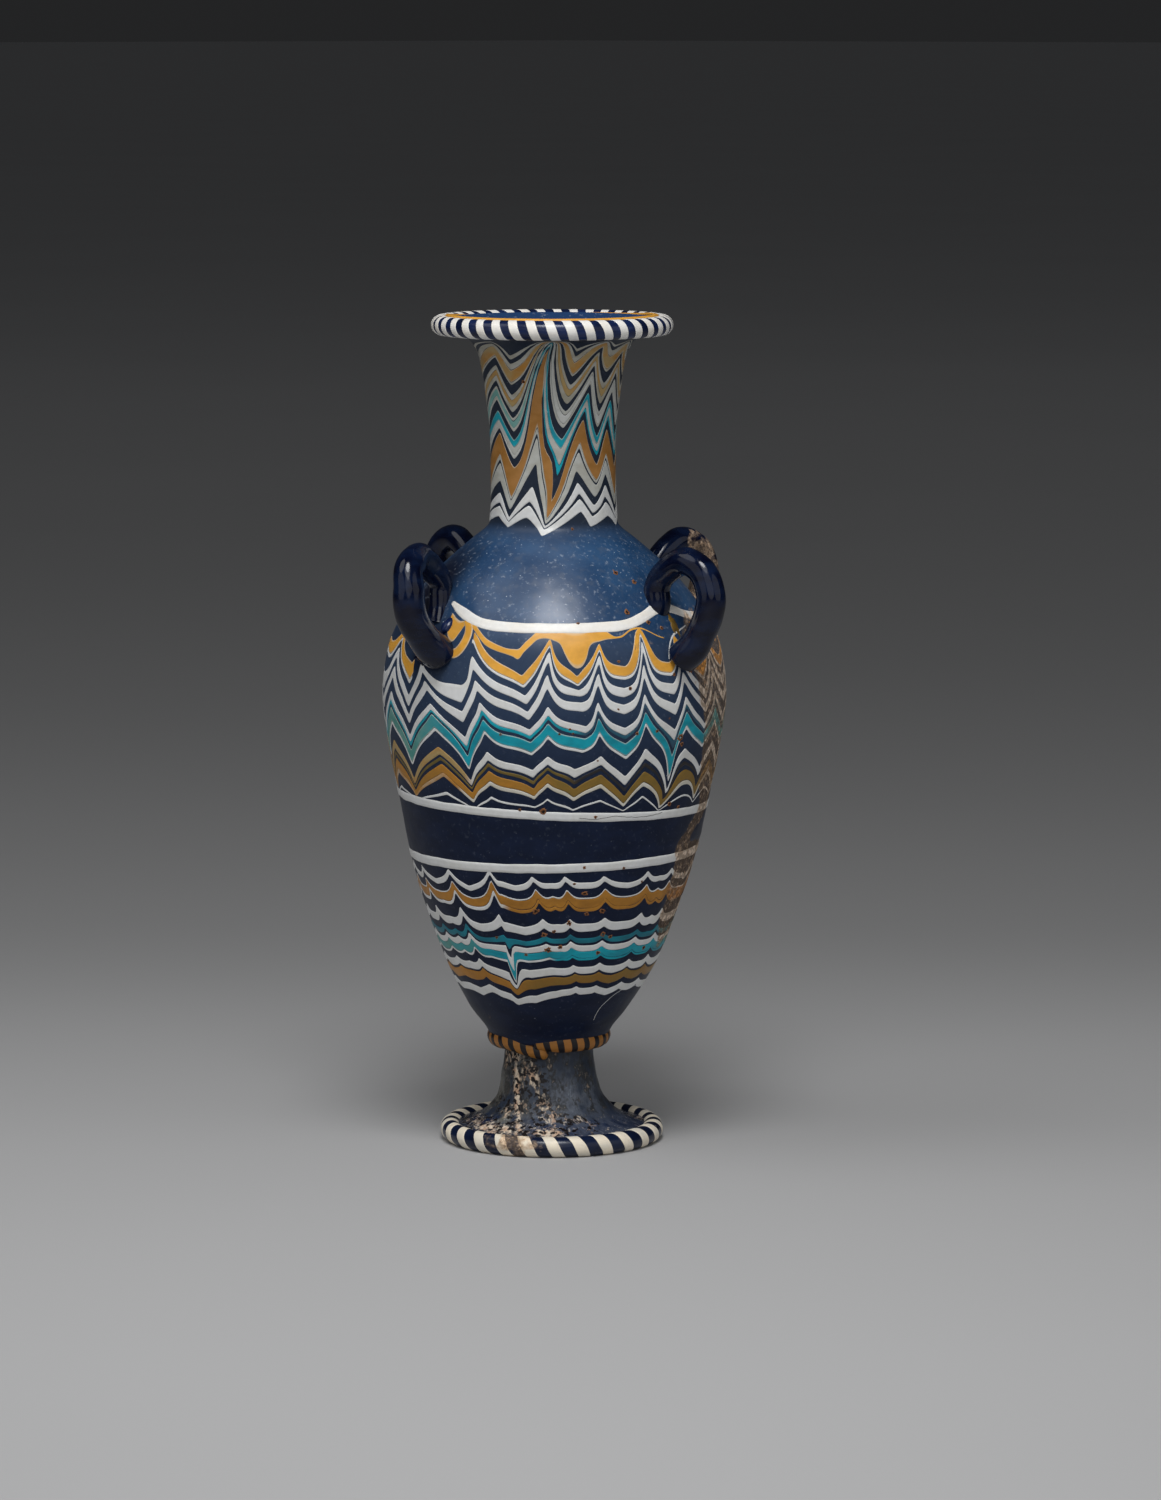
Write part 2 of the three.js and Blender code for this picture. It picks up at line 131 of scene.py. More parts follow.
BELLY_STROKES = [
    Stroke([(62, -74), (90, -68)], [0.5, 0.9, 1.2, 1.4, 1.9, 2.4, 2.8, 3.4, 4.4, 4.4, 4.4]),
    Stroke([(62, -60), (66, -59), (72, -57.5), (76, -56.6), (88, -57)], [-1, -2.3, -3.6, -4.2, -4.4, -4.2, -3.8,
           -3.9, -3.4, -2.2, -1], 3, 3),
    Stroke([(62, -41.5), (70, -42.5), (75, -43.5), (79, -45), (82, -47.5), (85, -51), (90, -53)], [1, 1.9, 1.8, 1.8,
           2.2, 2.6, 2, 2.2, 2.6, 2.8, 2.8], 2.5, [2.5, 2, 2, 2, 2.5, 2.5, 3, 4, 5, 4, 2]),
    Stroke([(62, -30), (72, -30.7), (78, -31.7), (84, -33), (88, -36)], [-1.2, -2.1, -2.6, -3.2, -4, -4, -3.2, -2.4,
           -1.7, 2, 1.9], [2.5, 2, 2, 2.5, 3, 3, 2, 1.3, 0.9, 0.8, 0.8], [3, 3, 3, 3, 3, 3, 3, 3, 3, 2, 1]),
    Stroke([(62, -22.8), (71, -23), (78, -24), (82, -26.2), (86, -28.6), (92, -31)], [0.9, 1, 1.3, 1.6, 2.4, 2.4, 3,
           2.8, 4, 5.6, 5.6], [4, 4, 4, 4, 4, 4, 3, 2.5, 1.8, 4, 3], [5, 5, 5, 5, 5, 5, 5, 4, 3.5, 3.5, 3]),
    Stroke([(62, -7), (72, -7.8), (78, -8.6), (81, -9.6), (85, -11), (88, -12.6)], [-0.4, -1.1, -1.5, -1.1, -1,
           -1.2, -1.2, -1.8, -1.6, -1.6, -1.8], 4, 3),
    Stroke([(62, -2.6), (78, -2.1), (84, -2.5), (90, -1.6)], [0.9, 1, 1.1, 1, 1.8, 2, 2.3, 3.7, 5.8, 5, 4.2], 3,
           4.5),
    Stroke([(62, 6.6), (69, 6.8), (72, 9.4), (76, 10.3), (79, 9), (84, 7.4), (88, 7.4)], [-0.9, -1.4, -1.5, -1.1,
           -0.6, -0.6, -0.9, -0.2, -0.4, -1.4, -1.9], 3, 3),
    Stroke([(62, 16.4), (71, 15.6), (74, 14.9), (79, 14.1), (84, 14.4), (90, 15.8)], [0.5, 0.7, 0.8, 0.9, 2.2, 2.8,
           3, 4.2, 5.2, 4.2, 3.3], 3.5, 4.5),
    Stroke([(61, 25.4), (70, 24.7), (75, 23.6), (80, 23), (86, 24)], [-1.3, -2.7, -3.1, -2.7, -2, -1.6, -1.4, -0.9,
           -0.7, -0.5, -0.5], 1.6, 1.8),
    Stroke([(62, 32.8), (71, 32), (76, 31.2), (80, 30.7), (85, 31), (92, 32.8)], [0.8, 0.5, 0.9, 1.6, 3.5, 3.4, 4,
           5, 7, 6.4, 8], [4.5, 4, 4, 4, 4.5, 4.5, 4.5, 4.5, 4.5, 4, 2], [3, 3, 3, 3, 4, 4, 4, 4.5, 4.5, 4.5, 3.3]),
    Stroke([(61, 41), (64, 43.4), (73, 43.8), (78, 43.2), (86, 42)], [-1.8, -3.6, -4.4, -5.2, -6.6, -4.4, -2.4,
           -1.6, -0.6, -0.4, -0.4], [1.5, 1.8, 2.2, 3, 4, 3, 2, 2, 2, 2, 2], [2, 2, 3, 4, 6, 4, 3, 3, 3, 3, 3]),
    Stroke([(62, 54), (66, 52.5), (70, 50), (76, 49), (80, 48.4), (90, 47.6)], [0.1, -0.1, 0.4, 1, 2.2, 2.8, 3, 3.6,
           4.2, 4.2, 4], 2.4, 3.2),
    Stroke([(62, 61), (80, 60), (88, 59)], [-1.4, -3, -3, -2.7, -1.4, -1.6, -2, -2.3, -2.4, -1.8, -1.2]),
    Stroke([(62, 70), (90, 67)], [0.6, 0.9, 1.2, 1.4, 2.2, 2.6, 3, 3.6, 4.6, 4.6, 4.4]),
    Stroke([(62, 80), (90, 77)], [-1.2, -2.2, -2.6, -2.6, -2.2, -2, -1.6, -1.2, -1, -0.9, -0.8]),
]
LOWER_LEVELS = [28.75, 30.9, 32.65, 34.5, 36.8, 38.15, 40.55, 44.6, 48.25]
LOWER_STROKES = [
    Stroke([(28, -56), (50, -68)], [-0.3, 0.4, 0.6, 0.8, 0.9, 0.9, 1.4, 1.8, 0.9]),
    Stroke([(28, -46.5), (33, -48), (41, -53), (48, -57)], [-0.9, 0, 0, 0.6, 0.5, 0.7, 0.1, 0.1, -0.85]),
    Stroke([(28, -37.5), (33, -40), (39, -42.7), (43, -44.3), (47, -45.6), (50, -47)], [0, 0.9, 0.7, 1.5, 1.5, 1.8,
           2.1, 2.4, 1.3]),
    Stroke([(27, -31), (33, -31.5), (40, -34), (45, -36), (48, -37)], [-0.7, -0.4, -0.6, 0.1, 0, -0.3, -0.5, -0.2,
           -1.2]),
    Stroke([(28, -24), (37, -22.8), (42, -23.9), (47, -25.4), (51, -26.5)], [-1.3, -1.1, -1.5, -0.4, -0.4, 0.3, 1.1,
           3.3, 2], [1, 1, 1, 1.2, 1.5, 3, 4, 4, 4], [1, 1, 1, 1, 1, 2, 3, 2.5, 2.5]),
    Stroke([(28, -19.6), (33, -20.1), (36, -21.2), (40, -21.6), (50, -22)], [-1.9, -2.4, -3, -4.3, -3.6, -0.2, 0,
           0.7, 0.1], 1, [1.2, 1.6, 3, 7, 14, 2, 2, 2.5, 2.5]),
    Stroke([(28, -9), (33, -12), (41, -13), (45, -14), (50, -16.5)], [-1.5, -0.9, -0.6, -0.35, -0.35, -0.5, -0.6,
           -0.2, -0.5]),
    Stroke([(28, 3), (33, 0), (38, -3), (42, -4.3), (47, -6.9), (50, -8.7)], [-0.5, -0.2, -0.1, 0.3, 0.4, 0.5, 0.8,
           1.9, 1.1]),
    Stroke([(28, 8), (33, 6), (38, 3), (42, 2), (48, -1)], [-0.1, -0.3, -0.2, 0.1, 0.1, 0, 0, 0.6, 0]),
    Stroke([(28, 15), (30, 14.3), (33.5, 11), (38, 8.5), (42, 7.5), (47, 5.7), (50, 4.3)], [0.4, 0.4, 0.4, 0.6, 0.8,
           0.8, 0.8, 1.7, 1.2]),
    Stroke([(28, 20), (38, 16), (48, 13)], [0, 0, 0, 0, 0, 0, 0, 0, 0]),
    Stroke([(28, 27), (34, 25), (38, 24), (42, 23.5), (47, 21.8), (50, 20.2)], [0.3, 0.4, 0.65, 0.7, 0.8, 0.7, 0.8,
           1.8, 1]),
    Stroke([(28, 35), (38, 33), (48, 32)], [-0.5, -0.5, -0.15, -0.2, -0.2, -0.1, 0, 0, -0.5]),
    Stroke([(28, 44.6), (34, 43.5), (43, 42.8), (47, 42), (50, 41)], [0.4, 0.5, 0.65, 0.8, 0.8, 0.8, 1, 1.8, 1.2]),
    Stroke([(28, 53), (38, 51), (48, 49)], [-0.2, -0.2, 0, 0, 0, 0, 0.4, 0.8, 0.1]),
    Stroke([(28, 61), (34, 59), (43, 57), (50, 55.5)], [0.5, 0.6, 0.9, 0.9, 0.9, 0.9, 1.2, 1.8, 1.1]),
    Stroke([(28, 70), (50, 66)], [-0.4, -0.3, -0.2, -0.2, -0.2, -0.2, 0, 0.1, -0.4]),
]

# Trails of each zone: name, top and bottom before combing, look, and the solid it stands for.
# Beside a thin edge trail of its own, a trail has no pale edge.
# On the neck, the white trails are greyed as painted shade under the rim.
NECK_TRAILS = [
    ("neck_pale_top", 139.9, 139.2, "neck_pale", None),
    ("neck_amber_top_edge", 138.4, 137.3, "neck_pale", None),
    ("neck_amber_top", 137.3, 135.3, "neck_amber", "neck_trail_amber_top"),
    ("neck_amber_top_low_edge", 135.3, 134.9, "neck_pale", None),
    ("neck_pale_upper", 133.4, 132.5, "neck_pale", "neck_trail_pale"),
    ("neck_pale_heart", 132.5, 131.5, "pale_amber", None),
    ("neck_pale_lower", 131.5, 130.6, "neck_pale", None),
    ("neck_tinted_upper", 129.7, 129.2, "neck_white", None),
    ("neck_tinted_heart", 129.2, 128.1, "neck_tinted", "neck_trail_turquoise"),
    ("neck_tinted_lower", 128.1, 127.5, "neck_white", None),
    ("neck_turquoise", 126, 124.6, "turquoise", None),
    ("neck_turquoise_heart", 124.6, 123.3, "neck_white", "neck_trail_white_middle"),
    ("neck_turquoise_low", 123.3, 122.6, "neck_white_to_turquoise", None),
    ("neck_amber_broad", 121.1, 116.8, "brown_amber", "neck_trail_amber_broad"),
    ("neck_amber_broad_edge", 116.8, 116.3, "neck_white", None),
    ("neck_white_low", 116, 114, "neck_white", "neck_trail_white_low"),
    ("neck_white_base", 112.5, 111.2, "white", "neck_trail_white_base"),
    ("neck_white_fringe", 110.8, 109.2, "white", None),
]
BELLY_TRAILS = [
    ("belly_amber_upper", 86.7, 84.9, "bright_amber", "belly_trail_amber_upper"),
    ("belly_amber_upper_edge", 84.9, 84.4, "white", None),
    ("belly_white_1", 83.2, 81.7, "white", "belly_trail_white_1"),
    ("belly_white_2", 80.6, 79.1, "white", "belly_trail_white_2"),
    ("belly_white_3", 77.1, 75.9, "white", "belly_trail_white_3"),
    ("belly_teal_haze", 75.9, 75.3, "turquoise_to_slate", None),
    ("belly_turquoise", 74.8, 72.8, "turquoise", "belly_trail_turquoise"),
    ("belly_turquoise_edge", 72.8, 72.3, "white", None),
    ("belly_white_4", 69.9, 68.6, "amber_to_white", "belly_trail_white_4"),
    ("belly_olive", 68.2, 67.6, "olive", None),
    ("belly_amber_lower", 67, 65.4, "lower_amber", "belly_trail_amber_lower"),
    ("belly_amber_lower_edge", 65.4, 64.7, "pale_amber_edge", None),
    ("belly_white_fine", 62.85, 62.45, "white", "belly_trail_white_fine"),
]
LOWER_TRAILS = [
    ("lower_white_1", 48.8, 47.7, "white", "lower_trail_white_1"),
    ("lower_amber_edge", 46.1, 45.8, "white", None),
    ("lower_amber", 45.8, 44.1, "plain_amber", "lower_trail_amber_1"),
    ("lower_amber_low_edge", 44.1, 43.5, "white_to_amber", None),
    ("lower_white_2", 41.3, 39.8, "white", "lower_trail_white_2"),
    ("lower_teal", 38.65, 37.7, "teal", "lower_trail_teal"),
    ("lower_turquoise_edge", 37.3, 36.2, "white", None),
    ("lower_turquoise", 36.2, 34.9, "low_turquoise", "lower_trail_turquoise"),
    ("lower_turquoise_low_edge", 34.9, 34.5, "white_to_turquoise", None),
    ("lower_white_3", 33.3, 32, "white", "lower_trail_white_3"),
    ("lower_amber_low", 31.7, 30.2, "low_amber", "lower_trail_amber_2"),
    ("lower_white_4", 29.3, 28, "white", "lower_trail_white_4"),
]

# Amber thread under the shoulder band: angle from the photograph's side, top and bottom
GARLAND = [
    (-50, 95.2, 94.4), (-46, 94.8, 93.6), (-43.5, 94.3, 91.8), (-41, 93.7, 90.2), (-38.6, 93.3, 89.8),
    (-36.8, 93.3, 91.3), (-35.4, 93.3, 92.6), (-33, 93.1, 92.4), (-31, 92.8, 91.9), (-28.5, 91.9, 90.9),
    (-25, 90.7, 89.6), (-21, 89.9, 88.8), (-17, 89.3, 88.3), (-14.4, 89.2, 87.9), (-12.4, 89.3, 87.5),
    (-10.5, 90.3, 88.7), (-8.2, 91.3, 89.8), (-6, 92.2, 90.7), (-3, 92.2, 90.9), (0, 92.2, 90.5), (2, 92.2, 89.9),
    (3.6, 92.2, 88.2), (5.2, 92.2, 86.7), (7.2, 92.2, 85.9), (9.2, 92.2, 86.2), (10.8, 92.2, 87.5),
    (12, 92.2, 89.2), (13.5, 92.2, 90), (16, 92.2, 90.3), (19, 92, 90.6), (22, 91.1, 90.7), (25, 91.2, 90.9),
    (29, 92.1, 91.8), (33, 92.3, 92), (36, 91.8, 91.6), (40, 90.8, 90.6), (43.5, 90.3, 90.1), (47, 90.3, 90),
    (51, 91, 90.6), (56, 92, 91.4),
]
GARLAND_REPEAT = [(0, 92.2, 91.4), (6, 90.6, 89.6), (12, 89.2, 88.1), (18, 90.7, 89.7), (24, 92.2, 91.3)]

# Short ribbons of glass: name, look, and points as (angle, height, half width)
RIBBONS = [
    ("amber_hook", "bright_amber", [(-39.5, 88, 0.8), (-36.5, 88, 0.85), (-34.6, 88.8, 0.85), (-33.3, 90.1, 0.85),
                                    (-33, 91.4, 0.8), (-33.8, 92.5, 0.7), (-36, 93.4, 0.5)]),
    ("white_line_by_handle", "white", [(42.5, 86.8, 0.1), (43, 87.8, 0.1), (44.5, 89.2, 0.13),
                                       (47.2, 90.4, 0.16), (50.5, 91, 0.14), (57.5, 91.8, 0.08)]),
    ("fine_crack_low", "white", [(63, 28.3, 0.03), (51, 28.25, 0.035), (44, 27.5, 0.04), (40, 26.5, 0.035),
                                      (36.4, 25.25, 0.035), (35, 24, 0.03), (35.2, 22.7, 0.03)]),
]

# Where a trail is lost under a handle's foot: name, and from which angle to which
LOST = {
    "belly_amber_upper": [(-55, -30.9)],
    "belly_amber_upper_edge": [(-55, -30.9)],
    "white_shoulder_band": [(-78, -47.5)],
    "amber_garland": [(-100, -44.5), (43.2, 60)],
}

# Glass pressed out round the foot of a handle: look, angle, height, half width, half height, rise and raggedness
PADS = [
    # The first pad, near-black below the front left handle, is partly painted shadow.
    ("handle", -49, 87.2, 4, 1.8, 0.22, 1), ("rim_blue", -44, 92.3, 1.15, 1.25, 0.8, 0.15),
    ("olive_blot", 50.3, 92, 0.85, 1.6, 0.06, 0.8),
]

# Iron pits that the photograph shows: angle, height and half width
PITS = [
    (-4, 61.4, 0.75), (-12.5, 61.7, 0.35), (12, 51.5, 0.35), (28.5, 51, 0.35), (9, 93.3, 0.3), (38, 93, 0.5),
    (30, 94.8, 0.55), (25.5, 82.4, 0.45), (21, 79, 0.25), (5, 75.8, 0.3), (1.5, 75, 0.3), (6, 75.1, 0.25),
    (-18, 74.8, 0.3), (28, 74.6, 0.4), (35.8, 74.8, 0.4), (46.6, 73.2, 0.75), (47.8, 72, 0.5), (-7.4, 43.7, 0.7),
    (-4, 39.3, 0.65), (-2.2, 36.6, 0.75), (-13, 35.6, 0.4), (-27, 38.5, 0.35), (0.6, 40, 0.4), (8.4, 48.6, 0.3),
    (12.8, 46.8, 0.55), (7.3, 41.5, 0.6), (21.8, 43.5, 0.6), (14.6, 43.1, 0.45), (23.6, 39.1, 0.6),
    (28, 38.6, 0.45), (3.6, 37.1, 0.5), (23, 35.8, 0.5), (52, 35.7, 0.55), (46, 61.6, 0.5), (51.5, 60.8, 0.4),
    (15, 60.4, 0.4), (14.5, 70.3, 0.25), (22, 87, 0.35), (38.5, 48.2, 0.3), (16.5, 108, 0.3), (43.2, 91.9, 0.4),
    (33, 101, 0.55), (41, 99.4, 0.5), (-24.5, 133.2, 0.4), (52, 84.5, 0.6), (43.6, 84.2, 0.4),
]

# Hair cracks as (angle, height)
CRACKS = [
    [(47, 27.5), (44, 27), (41, 26.2), (38, 25.2), (35, 24.6)],
    [(47, 27.5), (52, 27.1), (58, 27), (64, 26.8)],
    [(9, 60.3), (15, 60), (22, 60.4), (29, 60), (36, 59.9), (43, 60.3)],
]

# Azimuths at which the shoulder band was dragged up
BAND_PEAKS = (-1, 93, 176.4, -97.4)

# How far bands and trails stand proud of the wall, where their edges meet it, and how deep they are let in
BAND_LIFT = 0.10
TRAIL_LIFT = 0.04
EDGE_LIFT = -0.03
SINK = 0.3

# A ribbon's section: share of its half width, and lift
RIBBON_ROWS = [
    (-1, -0.25), (-1, EDGE_LIFT), (-0.92, TRAIL_LIFT), (-0.6, TRAIL_LIFT + 0.01), (0, TRAIL_LIFT + 0.02),
    (0.6, TRAIL_LIFT + 0.01), (0.92, TRAIL_LIFT), (1, EDGE_LIFT), (1, -0.25),
]

# Heights between which the plain bands run, where iron pits stand higher
BAND_ZONES = ((59.2, 62.2), (50.4, 52.4), (91.6, 95.5))

# Points round a cord, a smear or pit, and a handle, and steps of a strand in one turn about its cord
CORD_SIDES = 28
PATCH_SIDES = 28
ROD_SIDES = 32
STEPS_IN_TURN = 28

# Columns round the vessel, one at each degree, and rows up the outside of its wall
COLUMNS = 360
BODY_ROWS = 300

# Burial crust on the body: height, then where it starts at the left, how softly, how strong it is and where it ends
CRUST_ROWS = [
    (25, (60, 3, 0, 80)), (33, (63, 3, 0, 90)), (36, (62, 4, 0.6, 120)), (41, (58, 4, 0.95, 120)),
    (48, (58, 4, 1, 120)), (52.5, (57, 4, 0.95, 115)), (54, (55.5, 3, 0.8, 68)), (58, (64, 2.5, 0.75, 71)),
    (61, (67, 2.5, 0.8, 80)), (63.5, (64, 3, 0.95, 120)), (67, (62, 3, 1, 125)), (75, (59, 3, 1, 125)),
    (80, (57, 4, 1, 125)), (87, (53.5, 4, 1, 125)), (91, (54, 4, 0.9, 120)), (94, (58, 4, 0.3, 110)),
    (96, (60, 4, 0, 100)),
]

# Foot from the edge of its disc up the stem, and its underside from the middle out, as radius and height in mm
FOOT_OUTLINE = [
    (16.6, 2.7), (14.2, 3.4), (12.1, 4.5), (10.5, 5.9), (9.2, 7.7), (8.5, 10.1), (8.1, 12.4), (7.7, 15.3),
    (7.55, 18.3),
]
FOOT_UNDERSIDE = [(0, 2.4), (6, 2.1), (11.5, 1.3), (14.6, 0.7), (16.6, 1)]

# Patches on the foot: across and up in mm, half width, half height and strength
FOOT_CRUST = [
    (-5.75, 9.5, 0.55, 7.5, 0.95), (-5.9, 15.2, 1.5, 1.4, 0.8), (-3.4, 12.2, 2, 2.8, 0.46),
    (-2.9, 11.4, 0.7, 1.6, 0.8), (-2, 8.2, 1.4, 3.4, 0.4), (-0.9, 5.6, 1.8, 1.6, 0.62), (-0.4, 3.5, 3.1, 0.7, 0.88),
    (-7.4, 6.2, 1.8, 1.2, 0.42), (-9.6, 3.5, 4.4, 0.6, 0.9), (-6.2, 4.2, 1.2, 1, 0.62), (7, 3.9, 0.7, 0.6, 0.62),
    (4.6, 5, 1.4, 0.5, 0.4), (2.4, 5.2, 0.7, 0.5, 0.45),
]
# Grey bloom on the foot; its strong patch right of the stem is partly a painted highlight.
FOOT_BLOOM_AND_PAINTED_HIGHLIGHT = [
    (3.9, 10.2, 4, 5.2, 1), (-8, 9, 2.4, 5.6, 0.8), (-8.6, 4.9, 3.4, 1.4, 0.75), (0.5, 14, 4, 2, 0.55),
    (-1, 4.9, 3, 0.9, 0.8),
]

# Lamps: name, place as metres to the right, to the front and up, size, power, spread in degrees, and aim
VESSEL = (0, 0, 0.075)
LAMPS = [
    ("key_above", (0, 0.25, 0.55), 0.2, 0.74, 120, (0, 0.25, 0)),
    ("left_above", (-0.45, 0.1, 0.7), 0.45, 0.9, 180, VESSEL),
    ("front_above", (0, 1.1, 0.55), 1.1, 2.5, 180, VESSEL),
    ("side_left", (-0.9, 0.6, 0.42), 1.1, 1.7, 180, VESSEL),
    ("side_right", (0.9, 0.6, 0.42), 1.1, 1.8, 180, VESSEL),
    ("high_above", (0, 0.8, 1.35), 0.9, 5.6, 180, VESSEL),
]
FLOOR_HALF = 40.0

# Linear colours
COLOURS = {
    "navy": (0.002, 0.0068, 0.025),
    "navy_light": (0.0048, 0.012, 0.04),
    # Lighter grey navy: painted sheen on the upper belly.
    "navy_painted_sheen": (0.027, 0.048, 0.094),
    "neck_dark": (0.015, 0.023, 0.04),
    "shoulder": (0.011, 0.046, 0.12),
    "shoulder_light": (0.024, 0.074, 0.17),
    "ink": (0.0014, 0.0024, 0.012),
    "rim_blue": (0.008, 0.02, 0.082),
    "mouth_blue": (0.016, 0.048, 0.135),
    "white": (0.68, 0.69, 0.69),
    "white_warm": (0.6, 0.59, 0.53),
    "cord_white": (0.83, 0.82, 0.79),
    # White greyed as painted shade under the rim, for the neck's trails.
    "grey_white_painted_shade": (0.48, 0.49, 0.46),
    "grey_beige": (0.34, 0.32, 0.255),
    "amber": (0.43, 0.19, 0.022),
    "amber_dark": (0.27, 0.115, 0.014),
    "amber_brown": (0.38, 0.18, 0.048),
    "amber_bright": (0.76, 0.375, 0.05),
    "amber_pale": (0.4, 0.285, 0.12),
    "olive": (0.13, 0.095, 0.022),
    "olive_amber": (0.23, 0.135, 0.022),
    "olive_dark": (0.026, 0.022, 0.018),
    "turquoise": (0.002, 0.33, 0.42),
    "turquoise_green": (0.07, 0.26, 0.23),
    "turquoise_pale": (0.22, 0.42, 0.39),
    "teal": (0.004, 0.12, 0.17),
    "slate": (0.03, 0.07, 0.12),
    "cream": (0.85, 0.76, 0.61),
    "pale_edge": (0.56, 0.52, 0.42),
    "collar_amber": (0.36, 0.15, 0.034),
    "film_tint": (0.9, 0.7, 0.54),
    "film": (0.15, 0.106, 0.07),
    "crust": (0.39, 0.25, 0.155),
    "crust_pale": (0.64, 0.48, 0.345),
    "crust_dark": (0.045, 0.03, 0.02),
    "foot_navy": (0.011, 0.021, 0.054),
    "foot_slate": (0.023, 0.033, 0.054),
    "foot_crust": (0.56, 0.37, 0.25),
    "foot_crust_pale": (0.76, 0.64, 0.5),
    "bloom_warm": (0.2, 0.19, 0.155),
    # Blue-grey bloom on the foot's right, partly a painted highlight.
    "bloom_blue_painted_highlight": (0.15, 0.168, 0.205),
    "iron": (0.21, 0.085, 0.032),
    "fleck": (0.48, 0.54, 0.62),
    "haze": (0.1, 0.118, 0.15),
    "charcoal": (0.016, 0.017, 0.018),
    "brown_black": (0.01, 0.008, 0.009),
    "floor": (0.43, 0.43, 0.435),
    "floor_light": (0.46, 0.46, 0.465),
    "sky": (0.9, 0.92, 0.95),
    "backdrop": (0.017, 0.0173, 0.018),
}


def spline(points, count):
    """Points along a smooth curve through the given ones."""
    last = len(points) - 1
    curve = []
    for k in range(count + 1):
        place = last * k / count
        i = min(int(place), last - 1)
        w = place - i
        a, b, c, d = (points[max(i - 1, 0)], points[i], points[i + 1], points[min(i + 2, last)])
        curve.append(tuple(
            0.5 * (2 * b[n] + (c[n] - a[n]) * w + (2 * a[n] - 5 * b[n] + 4 * c[n] - d[n]) * w * w
                   + (3 * b[n] - a[n] - 3 * c[n] + d[n]) * w ** 3)
            for n in range(len(b))
        ))
    return curve


def between(rows, key):
    """Value at key in a list of (key, value) rows, straight between them and level beyond."""
    if key <= rows[0][0]:
        return rows[0][1]
    for (low, a), (high, b) in zip(rows, rows[1:]):
        if key <= high:
            return a + (b - a) * (key - low) / (high - low)
    return rows[-1][1]


def between_rows(rows, key):
    """Like between, for rows whose value is a tuple."""
    return [between([(row[0], row[1][n]) for row in rows], key) for n in range(len(rows[0][1]))]


def smooth(low, high, value):
    share = min(1.0, max(0.0, (value - low) / (high - low)))
    return share * share * (3 - 2 * share)


OUTER = spline(SURFACE, 900)
OUTER_HEIGHTS = [point[1] for point in OUTER]


def surface_radius(height):
    k = min(max(bisect.bisect(OUTER_HEIGHTS, height), 1), len(OUTER) - 1)
    (r0, z0), (r1, z1) = OUTER[k - 1], OUTER[k]
    return r0 + (r1 - r0) * (height - z0) / (z1 - z0)


def at(angle, radius, height):
    """Point in mm at an angle counted from the photograph's side, to its right."""
    turn = radians(VIEW_AZIMUTH + angle)
    stray = between(LEAN, height)
    return radius * sin(turn) + stray * cos(VIEW), stray * sin(VIEW) - radius * cos(turn), height


def unevenness(angle, height):
    """Hand-worked glass is never quite round: a few hundredths of a millimetre in and out."""
    spot = Vector(at(angle, surface_radius(height), height))
    return 0.10 * noise.noise(spot * 0.11) + 0.035 * noise.noise(spot * 0.5)


def signed(angle):
    return (angle + 180) % 360 - 180


def body_crust(angle, height):
    """How much burial crust the body has, from 0 to 1: it starts in a ragged line down the right side."""
    left, soft, strength, end = between_rows(CRUST_ROWS, height)
    turn = signed(angle) - 2.5 * noise.noise(Vector((height * 0.20, 3.7, 0.0)))
    far = turn + 14 * noise.noise(Vector((height * 0.16, 8.1, signed(angle) * 0.05)))
    spread = 3 if end < 90 else 15
    return strength * smooth(left - soft, left + soft, turn) * (1 - smooth(end - spread, end + spread, far))


def skin(angle, height, lift=0.0):
    """Point of the worked surface, eaten away a little under the crust."""
    pitted = 0.12 * body_crust(angle, height)
    return at(angle, surface_radius(height) + unevenness(angle, height) - pitted + lift, height)


def new_piece(name, points, faces, look, stands_for=(), **marks):
    """Mesh object from points in mm, in one of the looks, riding on the vessel. Marks are values for each point."""
    finish, slot = LOOKS[look]
    mesh = bpy.data.meshes.new(name)
    mesh.from_pydata([tuple(c * MM for c in point) for point in points], [], faces)
    mesh.update()
    # The third mark is painted shadow on the body, and grey bloom that is partly a painted highlight on the foot.
    for mark in ("crust", "edge", "haze"):
        attribute = mesh.attributes.new(mark, "FLOAT", "POINT")
        attribute.data.foreach_set("value", marks.get(mark) or [0.0] * len(points))
    tidy = bmesh.new()
    tidy.from_mesh(mesh)
    bmesh.ops.remove_doubles(tidy, verts=tidy.verts, dist=1e-7)
    tidy.to_mesh(mesh)
    tidy.free()
    mesh.shade_smooth()
    mesh.materials.append(finish)
    piece = bpy.data.objects.new(name, mesh)
    bpy.context.scene.collection.objects.link(piece)
    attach(piece, "root")
    if stands_for:
        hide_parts(*stands_for)
    return piece


def woven(columns, ring=True, closed=False):
    """Points and faces of a grid of columns. In a ring the last column joins the first; a closed rod gets ends."""
    rows = len(columns[0])
    points = [point for column in columns for point in column]
    faces = []
    spans = len(columns) if ring else len(columns) - 1
    for i in range(spans):
        here = i * rows
        there = ((i + 1) % len(columns)) * rows
        for j in range(rows if closed else rows - 1):
            k = (j + 1) % rows
            faces.append((here + j, there + j, there + k, here + k))
    if closed and not ring:
        faces += [tuple(range(rows - 1, -1, -1)), tuple(range(len(points) - rows, len(points)))]
    return points, faces


